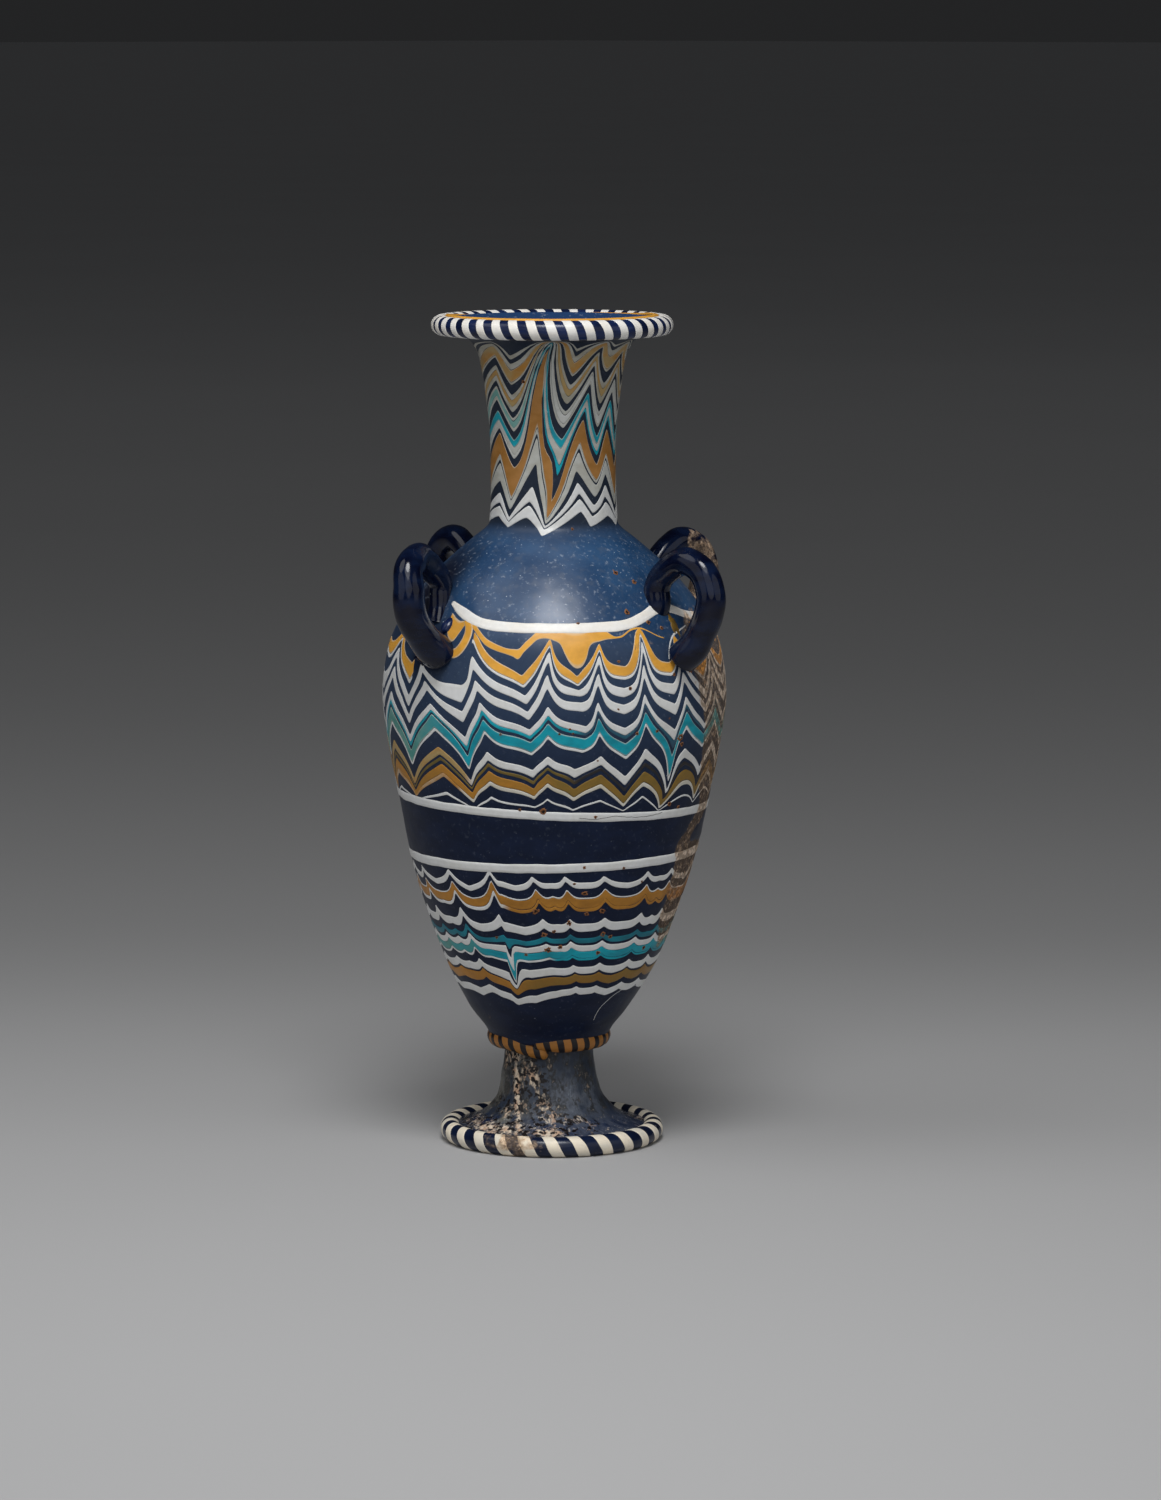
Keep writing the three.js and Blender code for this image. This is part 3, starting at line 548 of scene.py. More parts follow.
class Finish:
    """A procedural material, put together node by node."""

    def __init__(self, name, roughness, gloss=0.3):
        self.material = bpy.data.materials.new(name)
        self.material.use_nodes = True
        self.tree = self.material.node_tree
        self.shader = self.tree.nodes["Principled BSDF"]
        self.set(Roughness=roughness, Specular_IOR_Level=gloss)
        self.place = self.node("ShaderNodeTexCoord", {})["Object"]

    def set(self, **values):
        """Feeds inputs of the shader, whose names are written with underscores."""
        for name, value in values.items():
            self.feed(self.shader.inputs[name.replace("_", " ")], value)

    def feed(self, socket, value):
        """Links a socket to another one, or sets it to a value or to a colour, which may be given by name."""
        if isinstance(value, bpy.types.NodeSocket):
            self.tree.links.new(value, socket)
            return
        if isinstance(value, str):
            value = COLOURS[value]
        socket.default_value = (*value, 1.0) if socket.type == "RGBA" else value

    def node(self, kind, inputs, **settings):
        """Adds a node, feeds its inputs, and gives its outputs."""
        node = self.tree.nodes.new(kind)
        for key, value in settings.items():
            setattr(node, key, value)
        for key, value in inputs.items():
            self.feed(node.inputs[key], value)
        return node.outputs

    def noise(self, size_mm, detail=3.0, stretch=None, distortion=0.0):
        place = self.place
        if stretch:
            place = self.node("ShaderNodeMapping", {"Scale": stretch, "Vector": place})["Vector"]
        inputs = {"Scale": 1 / (size_mm * MM), "Detail": detail, "Distortion": distortion, "Vector": place}
        return self.node("ShaderNodeTexNoise", inputs)["Fac"]

    def cells(self, size_mm):
        return self.node("ShaderNodeTexVoronoi", {"Scale": 1 / (size_mm * MM), "Vector": self.place})

    def sum(self, kind, a, b):
        return self.node("ShaderNodeMath", {0: a, 1: b}, operation=kind)[0]

    def times(self, a, b):
        return self.sum("MULTIPLY", a, b)

    def plus(self, a, b):
        return self.sum("ADD", a, b)

    def minus(self, a, b):
        return self.sum("SUBTRACT", a, b)

    def step(self, value, low, high):
        """0 up to low, 1 from high on, and a soft rise between."""
        inputs = {"Value": value, "From Min": low, "From Max": high}
        return self.node("ShaderNodeMapRange", inputs, interpolation_type="SMOOTHSTEP")["Result"]

    def span(self, value, low, high):
        """A value from 0 to 1, spread out from low to high."""
        return self.node("ShaderNodeMapRange", {"Value": value, "To Min": low, "To Max": high})["Result"]

    def mix(self, share, a, b, kind="MIX"):
        return self.node("ShaderNodeMix", {0: share, 6: a, 7: b}, data_type="RGBA", blend_type=kind)[2]

    def blend(self, share, a, b):
        return self.node("ShaderNodeMix", {0: share, 2: a, 3: b}, data_type="FLOAT")[0]

    def along(self, direction):
        """Distance from the vessel's foot along a direction, in metres."""
        return self.node("ShaderNodeVectorMath", {0: self.place, 1: direction}, operation="DOT_PRODUCT")["Value"]

    def shaded(self, colour, value):
        """The colour times a grey value."""
        grey = self.node("ShaderNodeCombineColor", {0: value, 1: value, 2: value})["Color"]
        return self.mix(1.0, colour, grey, "MULTIPLY")

    def attribute(self, name):
        return self.node("ShaderNodeAttribute", {}, attribute_name=name)["Fac"]

    def specks(self, size_mm, reach, share):
        """Round spots, in the given share of cells of that size, fading out at reach of a cell."""
        cells = self.cells(size_mm)
        ragged = self.plus(cells["Distance"], self.times(self.noise(size_mm * 0.2, 2.0), 0.12))
        spot = self.minus(1.0, self.step(ragged, reach * 0.55, reach * 1.15))
        chance = self.node("ShaderNodeSeparateColor", {"Color": cells["Color"]})["Red"]
        return self.times(spot, self.sum("LESS_THAN", chance, share))

    def finish(self, colour, roughness, height, bump=0.25, depth_mm=0.05):
        inputs = {"Strength": bump, "Distance": depth_mm * MM, "Height": height}
        self.set(Base_Color=colour, Roughness=roughness, Normal=self.node("ShaderNodeBump", inputs)["Normal"])
        return self.material


def worked_glass(f, shade, roughness, pits, iron, crust_over):
    """Fine grain, pale flecks, iron spots with halos, and crust where the vessel was buried."""
    fine = f.noise(0.9, 3.0)
    drift = f.noise(7.0, 3.0, (1.0, 1.0, 1.6))
    shade = f.shaded(shade, f.span(fine, 0.88, 1.10))
    tiny = f.specks(1.5, 0.13, pits)
    shade = f.mix(f.times(tiny, 0.6), shade, "fleck")
    halo = f.specks(6.0, 0.10, iron)
    heart = f.specks(6.0, 0.05, iron)
    shade = f.mix(f.times(halo, 0.8), shade, "iron")
    shade = f.mix(heart, shade, "brown_black")
    shade, cover, crust_height = crusted(f, shade, crust_over)
    rough = f.blend(cover, f.plus(roughness, f.span(drift, -0.05, 0.12)), 0.9)
    relief = f.minus(f.times(fine, 0.12), f.times(f.plus(tiny, heart), 0.9))
    relief = f.plus(relief, crust_height)
    return f.finish(shade, rough, relief, 0.5, 0.06)


def melt(f, colour, second, streak):
    """Two shades of one melt, drawn out round the vessel."""
    drift = f.noise(5.0, 3.0, (1.0, 1.0, 2.2), 0.3)
    return f.mix(f.times(f.step(drift, 0.35, 0.70), streak), colour, second)


# Finish and slot of each look
LOOKS = {}


def glass(slot, name, colour, second, streak=0.5, roughness=0.34, gloss=0.3, pale_edge=0.0, iron=0.05, pits=0.05,
          crust_over=0.5):
    """Opaque glass in two shades of a colour."""
    f = Finish(f"{name}_glass", roughness, gloss)
    shade = melt(f, colour, second, streak)
    if pale_edge:
        shade = f.mix(f.times(f.attribute("edge"), pale_edge), shade, "pale_edge")
    LOOKS[name] = worked_glass(f, shade, roughness, pits, iron, crust_over), slot


def two_melts(slot, name, left, right, where_mm, soft_mm=1.0, pale_edge=0.0, roughness=0.34):
    """Glass that is of another melt to the right of a place across the vessel."""
    f = Finish(f"{name}_glass", roughness)
    share = f.step(f.along(RIGHT), (where_mm - soft_mm) * MM, (where_mm + soft_mm) * MM)
    shade = f.mix(share, melt(f, *left, 0.5), melt(f, *right, 0.5))
    if pale_edge:
        shade = f.mix(f.times(f.attribute("edge"), pale_edge), shade, "pale_edge")
    LOOKS[name] = worked_glass(f, shade, roughness, 0.05, 0.05, 0.5), slot


def body_glass():
    """Near-black navy on the body, bluer and glossier on shoulder and mouth, with a bloom of pale specks."""
    f = Finish("navy_glass", 0.38)
    height = f.along(UP)
    low_side = f.step(height, 0.0875, 0.0945)
    neck_side = f.minus(1.0, f.step(height, 0.105, 0.109))
    neck = f.step(height, 0.107, 0.110)
    mouth = f.step(height, 0.1405, 0.1415)
    blue = f.times(low_side, neck_side)
    drift = f.noise(9.0, 4.0, (1.0, 1.0, 1.6))
    cloud = f.noise(1.6, 5.0)
    body = melt(f, "navy", "navy_light", 0.7)
    # Painted sheen: from 58 mm up the belly the navy greys towards a lighter navy, in clouds.
    veil = f.times(f.step(height, 0.058, 0.086), f.span(cloud, 0.75, 1.15))
    body = f.mix(veil, body, "navy_painted_sheen")
    shoulder = f.mix(f.step(drift, 0.38, 0.68), "shoulder", "shoulder_light")
    shoulder = f.mix(f.times(f.step(cloud, 0.50, 0.72), 0.25), shoulder, "haze")
    shade = f.mix(blue, body, shoulder)
    shade = f.mix(neck, shade, "neck_dark")
    shade = f.mix(mouth, shade, "mouth_blue")
    # Painted shadow of the front left handle, laid on as near-black ink.
    shade = f.mix(f.attribute("haze"), shade, "ink")
    clear = f.plus(f.times(f.sum("MAXIMUM", blue, mouth), 0.75), 0.12)
    mottle = f.step(f.noise(0.7, 6.0), 0.57, 0.76)
    shade = f.mix(f.times(mottle, f.times(clear, 0.38)), shade, "fleck")
    for size, reach, share in ((0.55, 0.26, 0.08), (1.5, 0.10, 0.24)):
        flecks = f.times(f.specks(size, reach, share), clear)
        shade = f.mix(flecks, shade, "fleck")
    f.set(Specular_IOR_Level=f.blend(blue, 0.18, 0.55))
    LOOKS["navy"] = worked_glass(f, shade, f.blend(blue, 0.36, 0.33), 0.10, 0.05, 0.5), "navy_glass"


def crusted(f, colour, coverage):
    """Lays the burial crust over a colour: brown film, then scales and dark grains. Gives cover and height too."""
    amount = f.attribute("crust")
    clumps = f.noise(2.4, 4.0)
    flakes = f.noise(0.7, 4.0)
    grains = f.noise(0.30, 3.0)
    ragged = f.plus(amount, f.times(f.minus(clumps, 0.5), 1.3))
    film = f.step(ragged, 0.30, 0.58)
    filmed = f.mix(f.times(film, f.span(flakes, 0.6, 1.1)), colour, "film_tint", "MULTIPLY")
    filmed = f.mix(f.times(film, f.span(grains, -0.2, 1.9)), filmed, "film", "ADD")
    broken = f.plus(f.times(clumps, 0.40), f.times(flakes, 0.60))
    edge = 0.62 - 0.22 * coverage
    cover = f.times(film, f.step(broken, edge, edge + 0.10))
    earth = f.mix(f.step(grains, 0.38, 0.64), "crust", "crust_pale")
    shade = f.mix(f.times(cover, 0.72), filmed, earth)
    cracked = f.plus(f.cells(0.85)["Distance"], f.times(flakes, 0.4))
    cracks = f.times(f.step(cracked, 0.56, 0.74), film)
    shade = f.mix(f.times(cracks, 0.50), shade, "crust_dark")
    black = f.times(f.specks(0.8, 0.34, 0.34), film)
    shade = f.mix(f.times(black, 0.85), shade, "crust_dark")
    height = f.plus(cover, f.times(film, f.span(grains, 0.0, 0.9)))
    return shade, f.sum("MAXIMUM", cover, film), f.minus(height, f.plus(black, cracks))


def weathered_foot():
    """Stem and disc: navy glass under grey bloom, partly a painted highlight; charcoal mottling; cream crust eaten
    by black specks.
    """
    f = Finish("weathered_foot_glass", 0.5, 0.3)
    broad = f.noise(5.0, 5.0, (1.0, 1.0, 0.5))
    middle = f.noise(1.7, 6.0, (1.0, 1.0, 0.5))
    fine = f.noise(0.5, 5.0, (1.0, 1.0, 0.6))
    amount = f.attribute("crust")
    stem = f.step(f.along(UP), 0.0040, 0.0066)
    shade = f.mix(stem, "foot_navy", "foot_slate")
    # Bloom warm at the left and blue-grey at the right, where it is partly a painted highlight.
    bloom = f.mix(f.step(f.along(RIGHT), -0.0052, -0.0030), "bloom_warm", "bloom_blue_painted_highlight")
    clouds = f.step(f.plus(broad, f.times(middle, 0.8)), 0.70, 1.06)
    veil = f.times(f.attribute("haze"), clouds)
    shade = f.mix(veil, shade, bloom)
    scratches = f.times(f.step(fine, 0.52, 0.70), f.times(veil, 0.45))
    shade = f.mix(scratches, shade, "fleck")
    soot = f.times(f.step(f.plus(middle, f.times(fine, 0.5)), 0.68, 0.84), 0.85)
    shade = f.mix(f.times(soot, stem), shade, "charcoal")
    flakes = f.plus(f.times(middle, 0.5), f.times(fine, 0.5))
    spread = f.plus(amount, f.times(f.minus(flakes, 0.5), 3.6))
    cover = f.step(spread, 0.30, 0.95)
    earth = f.mix(f.step(f.noise(1.2, 4.0), 0.36, 0.62), "foot_crust", "foot_crust_pale")
    shade = f.mix(f.times(cover, 0.88), shade, earth)
    rust = f.times(f.step(f.noise(0.9, 3.0), 0.60, 0.72), cover)
    shade = f.mix(f.times(rust, 0.5), shade, "iron")
    black = f.times(f.step(f.noise(0.85, 3.0), 0.51, 0.57), f.step(amount, 0.03, 0.16))
    shade = f.mix(black, shade, "brown_black")
    rough = f.blend(cover, f.blend(stem, 0.22, f.span(broad, 0.34, 0.6)), 0.9)
    relief = f.plus(f.times(fine, 0.3), cover)
    relief = f.minus(relief, f.times(black, 1.2))
    LOOKS["foot"] = f.finish(shade, rough, relief, 0.6, 0.08), "weathered_glass"


def iron_pit():
    """Rust-brown pit with a near-black heart."""
    f = Finish("iron_pit_deposit", 0.8, 0.15)
    tone = f.noise(0.35, 4.0)
    place = f.plus(f.attribute("edge"), f.times(f.minus(tone, 0.5), 1.4))
    shade = f.mix(f.step(place, 0.32, 0.62), "brown_black", "iron")
    shade = f.mix(f.times(f.step(place, 0.75, 1.2), 0.4), shade, "crust")
    LOOKS["iron"] = f.finish(shade, 0.85, tone, 0.6, 0.08), "weathered_glass"


def make_looks():
    white, amber, turquoise = ("white", "white_warm"), ("amber", "amber_dark"), ("turquoise", "teal")
    body_glass()
    glass("handle_glass", "handle", "ink", "navy_light", 0.8, 0.07, 0.3, 0, 0.02, 0.08, 0.8)
    glass("rim_cord_glass", "rim_blue", "rim_blue", "ink", 0.7, 0.2, 0.35, 0, 0.02, 0.08)
    glass("foot_cord_glass", "foot_blue", "navy_light", "ink", 0.7, 0.2, 0.35, 0, 0.04, 0.08)
    glass("foot_cord_glass", "cream", "cream", "white_warm", 0.6, 0.4, 0.3, 0, 0.06, 0.05, 0.7)
    glass("collar_glass", "dark_thread", "brown_black", "ink")
    glass("collar_glass", "collar_amber", "collar_amber", "amber_dark", 0.9, 0.4, 0.3, 0, 0.5, 0.2)
    glass("white_glass", "white", *white, 0.35)
    glass("white_glass", "cord_white", "cord_white", "cream", 0.35)
    # Neck whites greyed as painted shade under the rim, streaked with grey-beige of their own.
    glass("white_glass", "neck_white", "grey_white_painted_shade", "grey_beige")
    glass("white_glass", "neck_pale", "grey_beige", "grey_white_painted_shade", 0.8)
    glass("amber_glass", "neck_amber", "amber_pale", "amber", 0.9, 0.34, 0.3, 0.5, 0.1)
    glass("amber_glass", "brown_amber", "amber_brown", "amber_dark", 0.6, 0.34, 0.3, 0.75, 0.1)
    glass("amber_glass", "plain_amber", *amber, 0.7, 0.34, 0.3, 0, 0.1)
    glass("amber_glass", "bright_amber", "amber_bright", "amber", 0.35, 0.34, 0.3, 0.75)
    glass("amber_glass", "pale_amber", "amber_pale", "amber")
    glass("amber_glass", "olive_blot", "olive_amber", "olive_dark", 0.9)
    glass("turquoise_glass", "teal", "teal", "turquoise", 0.4)
    two_melts("amber_glass", "olive", ("olive", "olive_amber"), ("olive_dark", "navy"), 3, 2)
    two_melts("amber_glass", "lower_amber", ("amber", "olive_amber"), ("olive_amber", "olive"), -1, 3)
    two_melts("amber_glass", "low_amber", amber, ("olive_amber", "amber_dark"), -5, 3)
    two_melts("white_glass", "pale_amber_edge", ("amber", "pale_edge"), ("pale_edge", "white"), -15.5)
    two_melts("white_glass", "amber_to_white", ("amber_pale", "amber"), white, -13.9)
    two_melts("white_glass", "white_to_amber", white, amber, -7.9)
    two_melts("white_glass", "white_to_turquoise", white, turquoise, 0)
    # On the neck, the grey white is painted shade under the rim.
    two_melts("white_glass", "neck_white_to_turquoise", ("grey_white_painted_shade", "white"), turquoise, -2.9, 0.5)
    two_melts("turquoise_glass", "neck_tinted", ("turquoise_pale", "turquoise_green"), ("grey_white_painted_shade", "white"),
              -2.3, 0.5)
    two_melts("turquoise_glass", "turquoise_to_slate", turquoise, ("slate", "teal"), 4.5, 1.5)
    two_melts("turquoise_glass", "turquoise", ("turquoise_green", "turquoise_pale"), turquoise, -20.5, 4, 0.6)
    two_melts("turquoise_glass", "low_turquoise", ("turquoise_green", "turquoise"), turquoise, -13, 3)
    weathered_foot()
    iron_pit()


def painted_handle_shadow(angle, height):
    """Painted shadow, near-black, round the front left handle's foot, where its glass spreads too, and behind its
    loop.
    """
    low = exp(-(((signed(angle) + 49) / 9.0) ** 4) - ((height - 88.5) / 5.2) ** 4)
    high = exp(-(((signed(angle) + 68) / 19.0) ** 4) - ((height - 97.0) / 8.0) ** 4)
    return max(0.85 * low, high)


def vessel_body():
    """Body, shoulder, neck and lip outside, and the hollow inside, in one closed wall."""
    low, high = SURFACE[0][1], SURFACE[-1][1]
    heights = [low + (high - low) * k / BODY_ROWS for k in range(BODY_ROWS + 1)]
    inner = spline(HOLLOW, 120)
    hidden = [0.0] * len(inner)
    columns = []
    crust = []
    dark = []
    for angle in range(COLUMNS):
        inside = [at(angle, max(radius, 0.0), height) for radius, height in inner]
        columns.append([at(angle, 0.0, low), *[skin(angle, height) for height in heights], *inside])
        crust += [0.0, *[body_crust(angle, height) for height in heights], *hidden]
        # This mark carries the painted shadow round the front left handle.
        dark += [0.0, *[painted_handle_shadow(angle, height) for height in heights], *hidden]
    new_piece("vessel_body", *woven(columns), "navy", ["vessel_wall"], crust=crust, haze=dark)


class Zone:
    """A combed zone: strokes round the whole vessel, and where each trail point ends up."""

    def __init__(self, strokes, levels, fade_up, fade_down, rounding, ceiling, step):
        self.levels = levels
        self.fade_up = fade_up
        self.fade_down = fade_down
        self.rounding = rounding
        self.ceiling = ceiling
        self.strokes = self.all_round(strokes)
        self.angles = self.column_angles(step)

    @staticmethod
    def middle(track):
        return between(track, 0.5 * (track[0][0] + track[-1][0]))

    def all_round(self, strokes):
        """The photographed strokes, then the same pairs again until the ring is full."""
        first = self.middle(strokes[0].track)
        last = self.middle(strokes[-1].track)
        gap = 360 - (last - first)
        mean = (last - first) / (len(strokes) - 1)
        odd = len(strokes) % 2
        missing = 2 * round((gap / mean - 1) / 2) + odd
        ring = [(self.middle(s.track), s) for s in strokes]
        for k in range(missing):
            target = last + gap * (k + 1) / (missing + 1)
            model = strokes[(k + odd) % len(strokes)]
            shift = target - self.middle(model.track)
            ring.append((target, model._replace(track=[(z, angle + shift) for z, angle in model.track])))
        return ring

    def column_angles(self, step):
        """Columns at every stroke, closer together beside a stroke than between two."""
        angles = []
        for k, (angle, _) in enumerate(self.strokes):
            following = self.strokes[(k + 1) % len(self.strokes)][0] + (360 if k + 1 == len(self.strokes) else 0)
            count = max(8, int((following - angle) / step))
            for n in range(count):
                share = n / count
                eased = 0.4 * share + 0.6 * 0.5 * (1 - cos(pi * share))
                angles.append((k, eased, angle + (following - angle) * eased, following - angle))
        return angles

    def at_level(self, values, height):
        return between(list(zip(self.levels, values)), height)

    def fade(self, side, pull, height):
        if side is None:
            return self.fade_up if pull > 0 else self.fade_down
        return side if isinstance(side, (int, float)) else self.at_level(side, height)

    def faded(self, pull, sharpness, share, gap):
        """What is left of a stroke's pull at a share of the gap to the next stroke."""
        soft = self.rounding / gap
        rounded = sqrt(share * share + soft * soft) - soft * (1 - share)
        return pull * max(0.0, 1 - rounded / sqrt(1 + soft * soft)) ** sharpness

    def place(self, column, height):
        """Angle and height to which combing brings the thread that ran at this height."""
        k, share, angle, gap = column
        n = (k + 1) % len(self.strokes)
        (here_angle, here), (there_angle, there) = self.strokes[k], self.strokes[n]
        here_pull = self.at_level(here.pulls, height)
        there_pull = self.at_level(there.pulls, height)
        lifted = height + self.faded(here_pull, self.fade(here.right, here_pull, height), share, gap)
        lifted += self.faded(there_pull, self.fade(there.left, there_pull, height), 1 - share, gap)
        if lifted > self.ceiling - 2:
            lifted = self.ceiling - 2 * exp((self.ceiling - 2 - lifted) / 2)
        offset_here = between(here.track, lifted) - here_angle
        offset_there = between(there.track, lifted) - there_angle
        return angle + offset_here + (offset_there - offset_here) * share, lifted


def edge_wander(angle, seed):
    """A thread is never quite even in thickness."""
    turn = radians(angle)
    return 0.07 * noise.noise(Vector((9 * sin(turn), 9 * cos(turn), seed)))


def sunk(name, angle):
    """How far a trail lies below the surface at an angle: nothing but where it is lost under a handle's foot."""
    turn = signed(angle)
    depth = 0.0
    for start, end in LOST.get(name, ()):
        depth = max(depth, smooth(start - 0.6, start, turn) * (1 - smooth(end, end + 0.6, turn)))
    return 0.5 * depth


def strip(name, edges, look, stands_for, lift):
    """Closed strip let into the wall. edges gives, for each column, points from bottom to top as (angle, height)."""
    columns = []
    crust = []
    edge = []
    for line in edges:
        low = sunk(name, line[(len(line) - 1) // 2][0])
        spots = [line[0], *line, line[-1]]
        rises = [-SINK, EDGE_LIFT, *[lift] * (len(line) - 2), EDGE_LIFT, -SINK]
        columns.append([skin(*spot, rise - low) for spot, rise in zip(spots, rises)])
        crust += [body_crust(*spot) for spot in spots]
        edge += [1.0, 1.0, 0.9, *[0.0] * (len(line) - 4), 0.9, 1.0, 1.0]
    new_piece(name, *woven(columns, True, True), look, stands_for, crust=crust, edge=edge)


def cross_shares(width):
    """Shares across a strip: both edges, just inside them, and evenly between."""
    width = max(width, 0.3)
    bevel = min(0.12, 0.06 / width)
    inner = min(0.3, 0.26 / width)
    inside = max(2, int(width / 0.45))
    middle = [inner + (1 - 2 * inner) * k / inside for k in range(inside + 1)]
    return [0.0, bevel, *middle, 1 - bevel, 1.0]


def combed_trails():
    zones = [
        (Zone(NECK_STROKES, NECK_LEVELS, 1.5, 1.4, 1.0, 140.3, 2.0), NECK_TRAILS),
        (Zone(BELLY_STROKES, BELLY_LEVELS, 3.0, 2.5, 0.5, 92.3, 0.5), BELLY_TRAILS),
        (Zone(LOWER_STROKES, LOWER_LEVELS, 4.0, 1.3, 0.5, 52.3, 1.0), LOWER_TRAILS),
    ]
    seed = 0.0
    for zone, trails in zones:
        for name, top, bottom, look, stands_for in trails:
            seed += 1.7
            shares = cross_shares(top - bottom)
            edges = []
            for column in zone.angles:
                upper = top + edge_wander(column[2], seed)
                lower = bottom + edge_wander(column[2], seed + 0.8)
                edges.append([zone.place(column, lower + (upper - lower) * share) for share in shares])
            strip(name, edges, look, [stands_for] if stands_for else (), TRAIL_LIFT)


def near_handle(angle):
    turns = [abs(signed(VIEW_AZIMUTH + angle - azimuth)) for azimuth in BAND_PEAKS]
    return exp(-((min(turns) / 14.0) ** 2))


def left_end(angle):
    """1 where the shoulder band runs out in a raised tip under the front left handle."""
    return exp(-(((signed(angle) + 49) / 5.5) ** 2))


def plain_bands():
    bands = [
        ("white_shoulder_band", 0.84, lambda a: 92.55 + 2.5 * near_handle(a) + 0.9 * left_end(a), "shoulder_band"),
        ("white_girdle_upper", 0.78, lambda a: 60.6 - 1.08 * sin(radians(a)), "girdle_band_upper"),
        ("white_girdle_lower", 0.84, lambda a: 51.36 + 0.42 * sin(radians(a)), "girdle_band_lower"),
    ]
    for seed, (name, half, middle, node) in enumerate(bands):
        edges = []
        for angle in range(COLUMNS):
            narrow = half
            if seed == 0:
                far = exp(-(((signed(angle) + 77) / 7.0) ** 2))
                narrow = half * (1 - 0.7 * left_end(angle) - 0.86 * far)
            upper = middle(angle) + narrow + 1.6 * edge_wander(angle, seed + 40.3)
            lower = middle(angle) - narrow + 1.6 * edge_wander(angle, seed + 50.9)
            edges.append([(angle, lower + (upper - lower) * share) for share in (0, 0.12, 0.35, 0.65, 0.88, 1)])
        look = "white" if seed else "cord_white"
        strip(name, edges, look, [node], BAND_LIFT)


def garland():
    """Amber thread just under the shoulder band, with a blob that sagged at the front."""
    lines = list(GARLAND)
    for start in range(66, 290, 24):
        lines += [(start + turn, top, bottom) for turn, top, bottom in GARLAND_REPEAT[:-1]]
    edges = []
    for angle, top, bottom in spline(lines, len(lines) * 6):
        edges.append([(angle, bottom + (top - bottom) * share) for share in cross_shares(max(1.2, top - bottom))])
    strip("amber_garland", even_rows(edges), "bright_amber",
          ["belly_trail_amber_garland"], TRAIL_LIFT - 0.012)


def even_rows(edges):
    """The same number of points in every column, the outer ones close to the edges."""
    shares = [0, 0.05, 0.15, *[0.15 + 0.7 * k / 10 for k in range(1, 10)], 0.85, 0.95, 1]
    return [[tuple(a + (b - a) * share for a, b in zip(line[0], line[-1])) for share in shares] for line in edges]


def ribbons():
    """Short pieces of thread that run up or double back, each along its own line."""
    for name, look, line in RIBBONS:
        path = spline(line, 60)
        columns = []
        edge = []
        for k, (angle, height, half) in enumerate(path):
            before, after = path[max(k - 1, 0)], path[min(k + 1, len(path) - 1)]
            radius = surface_radius(height)
            run = Vector((radians(after[0] - before[0]) * radius, after[1] - before[1])).normalized()
            column = []
            for share, lift in RIBBON_ROWS:
                spot = angle - degrees(share * half * run.y / radius)
                column.append(skin(spot, height + share * half * run.x, lift))
                edge.append(smooth(0.6, 0.95, abs(share)))
            columns.append(column)
        new_piece(name, *woven(columns, False, True), look, edge=edge)


def smear(number, size_x, size_z, raggedness, turn):
    """Ragged outline of a smear or pit."""
    at_x, at_z = cos(turn), sin(turn)
    broad = noise.noise(Vector((1.3 * at_x, 1.3 * at_z, number * 3.1)))
    fine = noise.noise(Vector((4.0 * at_x, 4.0 * at_z, number * 5.7)))
    ragged = 1 + raggedness * (0.55 * broad + 0.50 * fine)
    return size_x * ragged * at_x, size_z * ragged * at_z


def patch(name, number, spot, rings, look):
    """Low ragged lens of glass or rust on the wall. Rings are share of the outline and lift."""
    angle, height, size_x, size_z, raggedness = spot
    points = [skin(angle, height, rings[0][1])]
    edge = [0.0]
    for share, rise in rings:
        for k in range(PATCH_SIDES):
            out_x, out_z = smear(number, size_x, size_z, raggedness, 2 * pi * k / PATCH_SIDES)
            up = height + out_z * share
            points.append(skin(angle + degrees(out_x * share / surface_radius(height)), up, rise))
            edge.append(min(1.0, share))
    faces = [(0, 1 + k, 1 + (k + 1) % PATCH_SIDES) for k in range(PATCH_SIDES)]
    for here in range(1, 1 + (len(rings) - 1) * PATCH_SIDES, PATCH_SIDES):
        there = here + PATCH_SIDES
        for k in range(PATCH_SIDES):
            following = (k + 1) % PATCH_SIDES
            faces.append((here + k, there + k, there + following, here + following))
    faces.append(tuple(range(len(points) - 1, len(points) - 1 - PATCH_SIDES, -1)))
    new_piece(name, points, faces, look, edge=edge)


def handle_pads():
    """Where a handle was pressed on, its glass spread a little over the wall."""
    # The near-black pad below the front left handle is partly painted shadow.
    for number, (look, angle, height, half_x, half_z, rise, ragged) in enumerate(PADS):
        shares = [k / 12 for k in range(1, 13)]
        rings = [(share, rise * (1 - share ** 3) + 0.07) for share in shares] + [(1.02, -0.2)]
        patch(f"handle_pad_{number + 1}", number + 60, (angle, height, half_x, half_z, ragged), rings, look)


def iron_pits():
    """Shallow irregular scabs where iron grains in the glass have rusted."""
    for number, (angle, height, size) in enumerate(PITS):
        lift = 0.12 if any(low < height < high for low, high in BAND_ZONES) else 0.06
        rings = [(0.3, lift - 0.02), (0.6, lift + 0.01), (0.85, lift), (1.0, lift - 0.03), (1.04, -0.2)]
        patch(f"iron_pit_{number + 1:02d}", number, (angle, height, size * 0.82, size * 0.70, 1.0), rings, "iron")


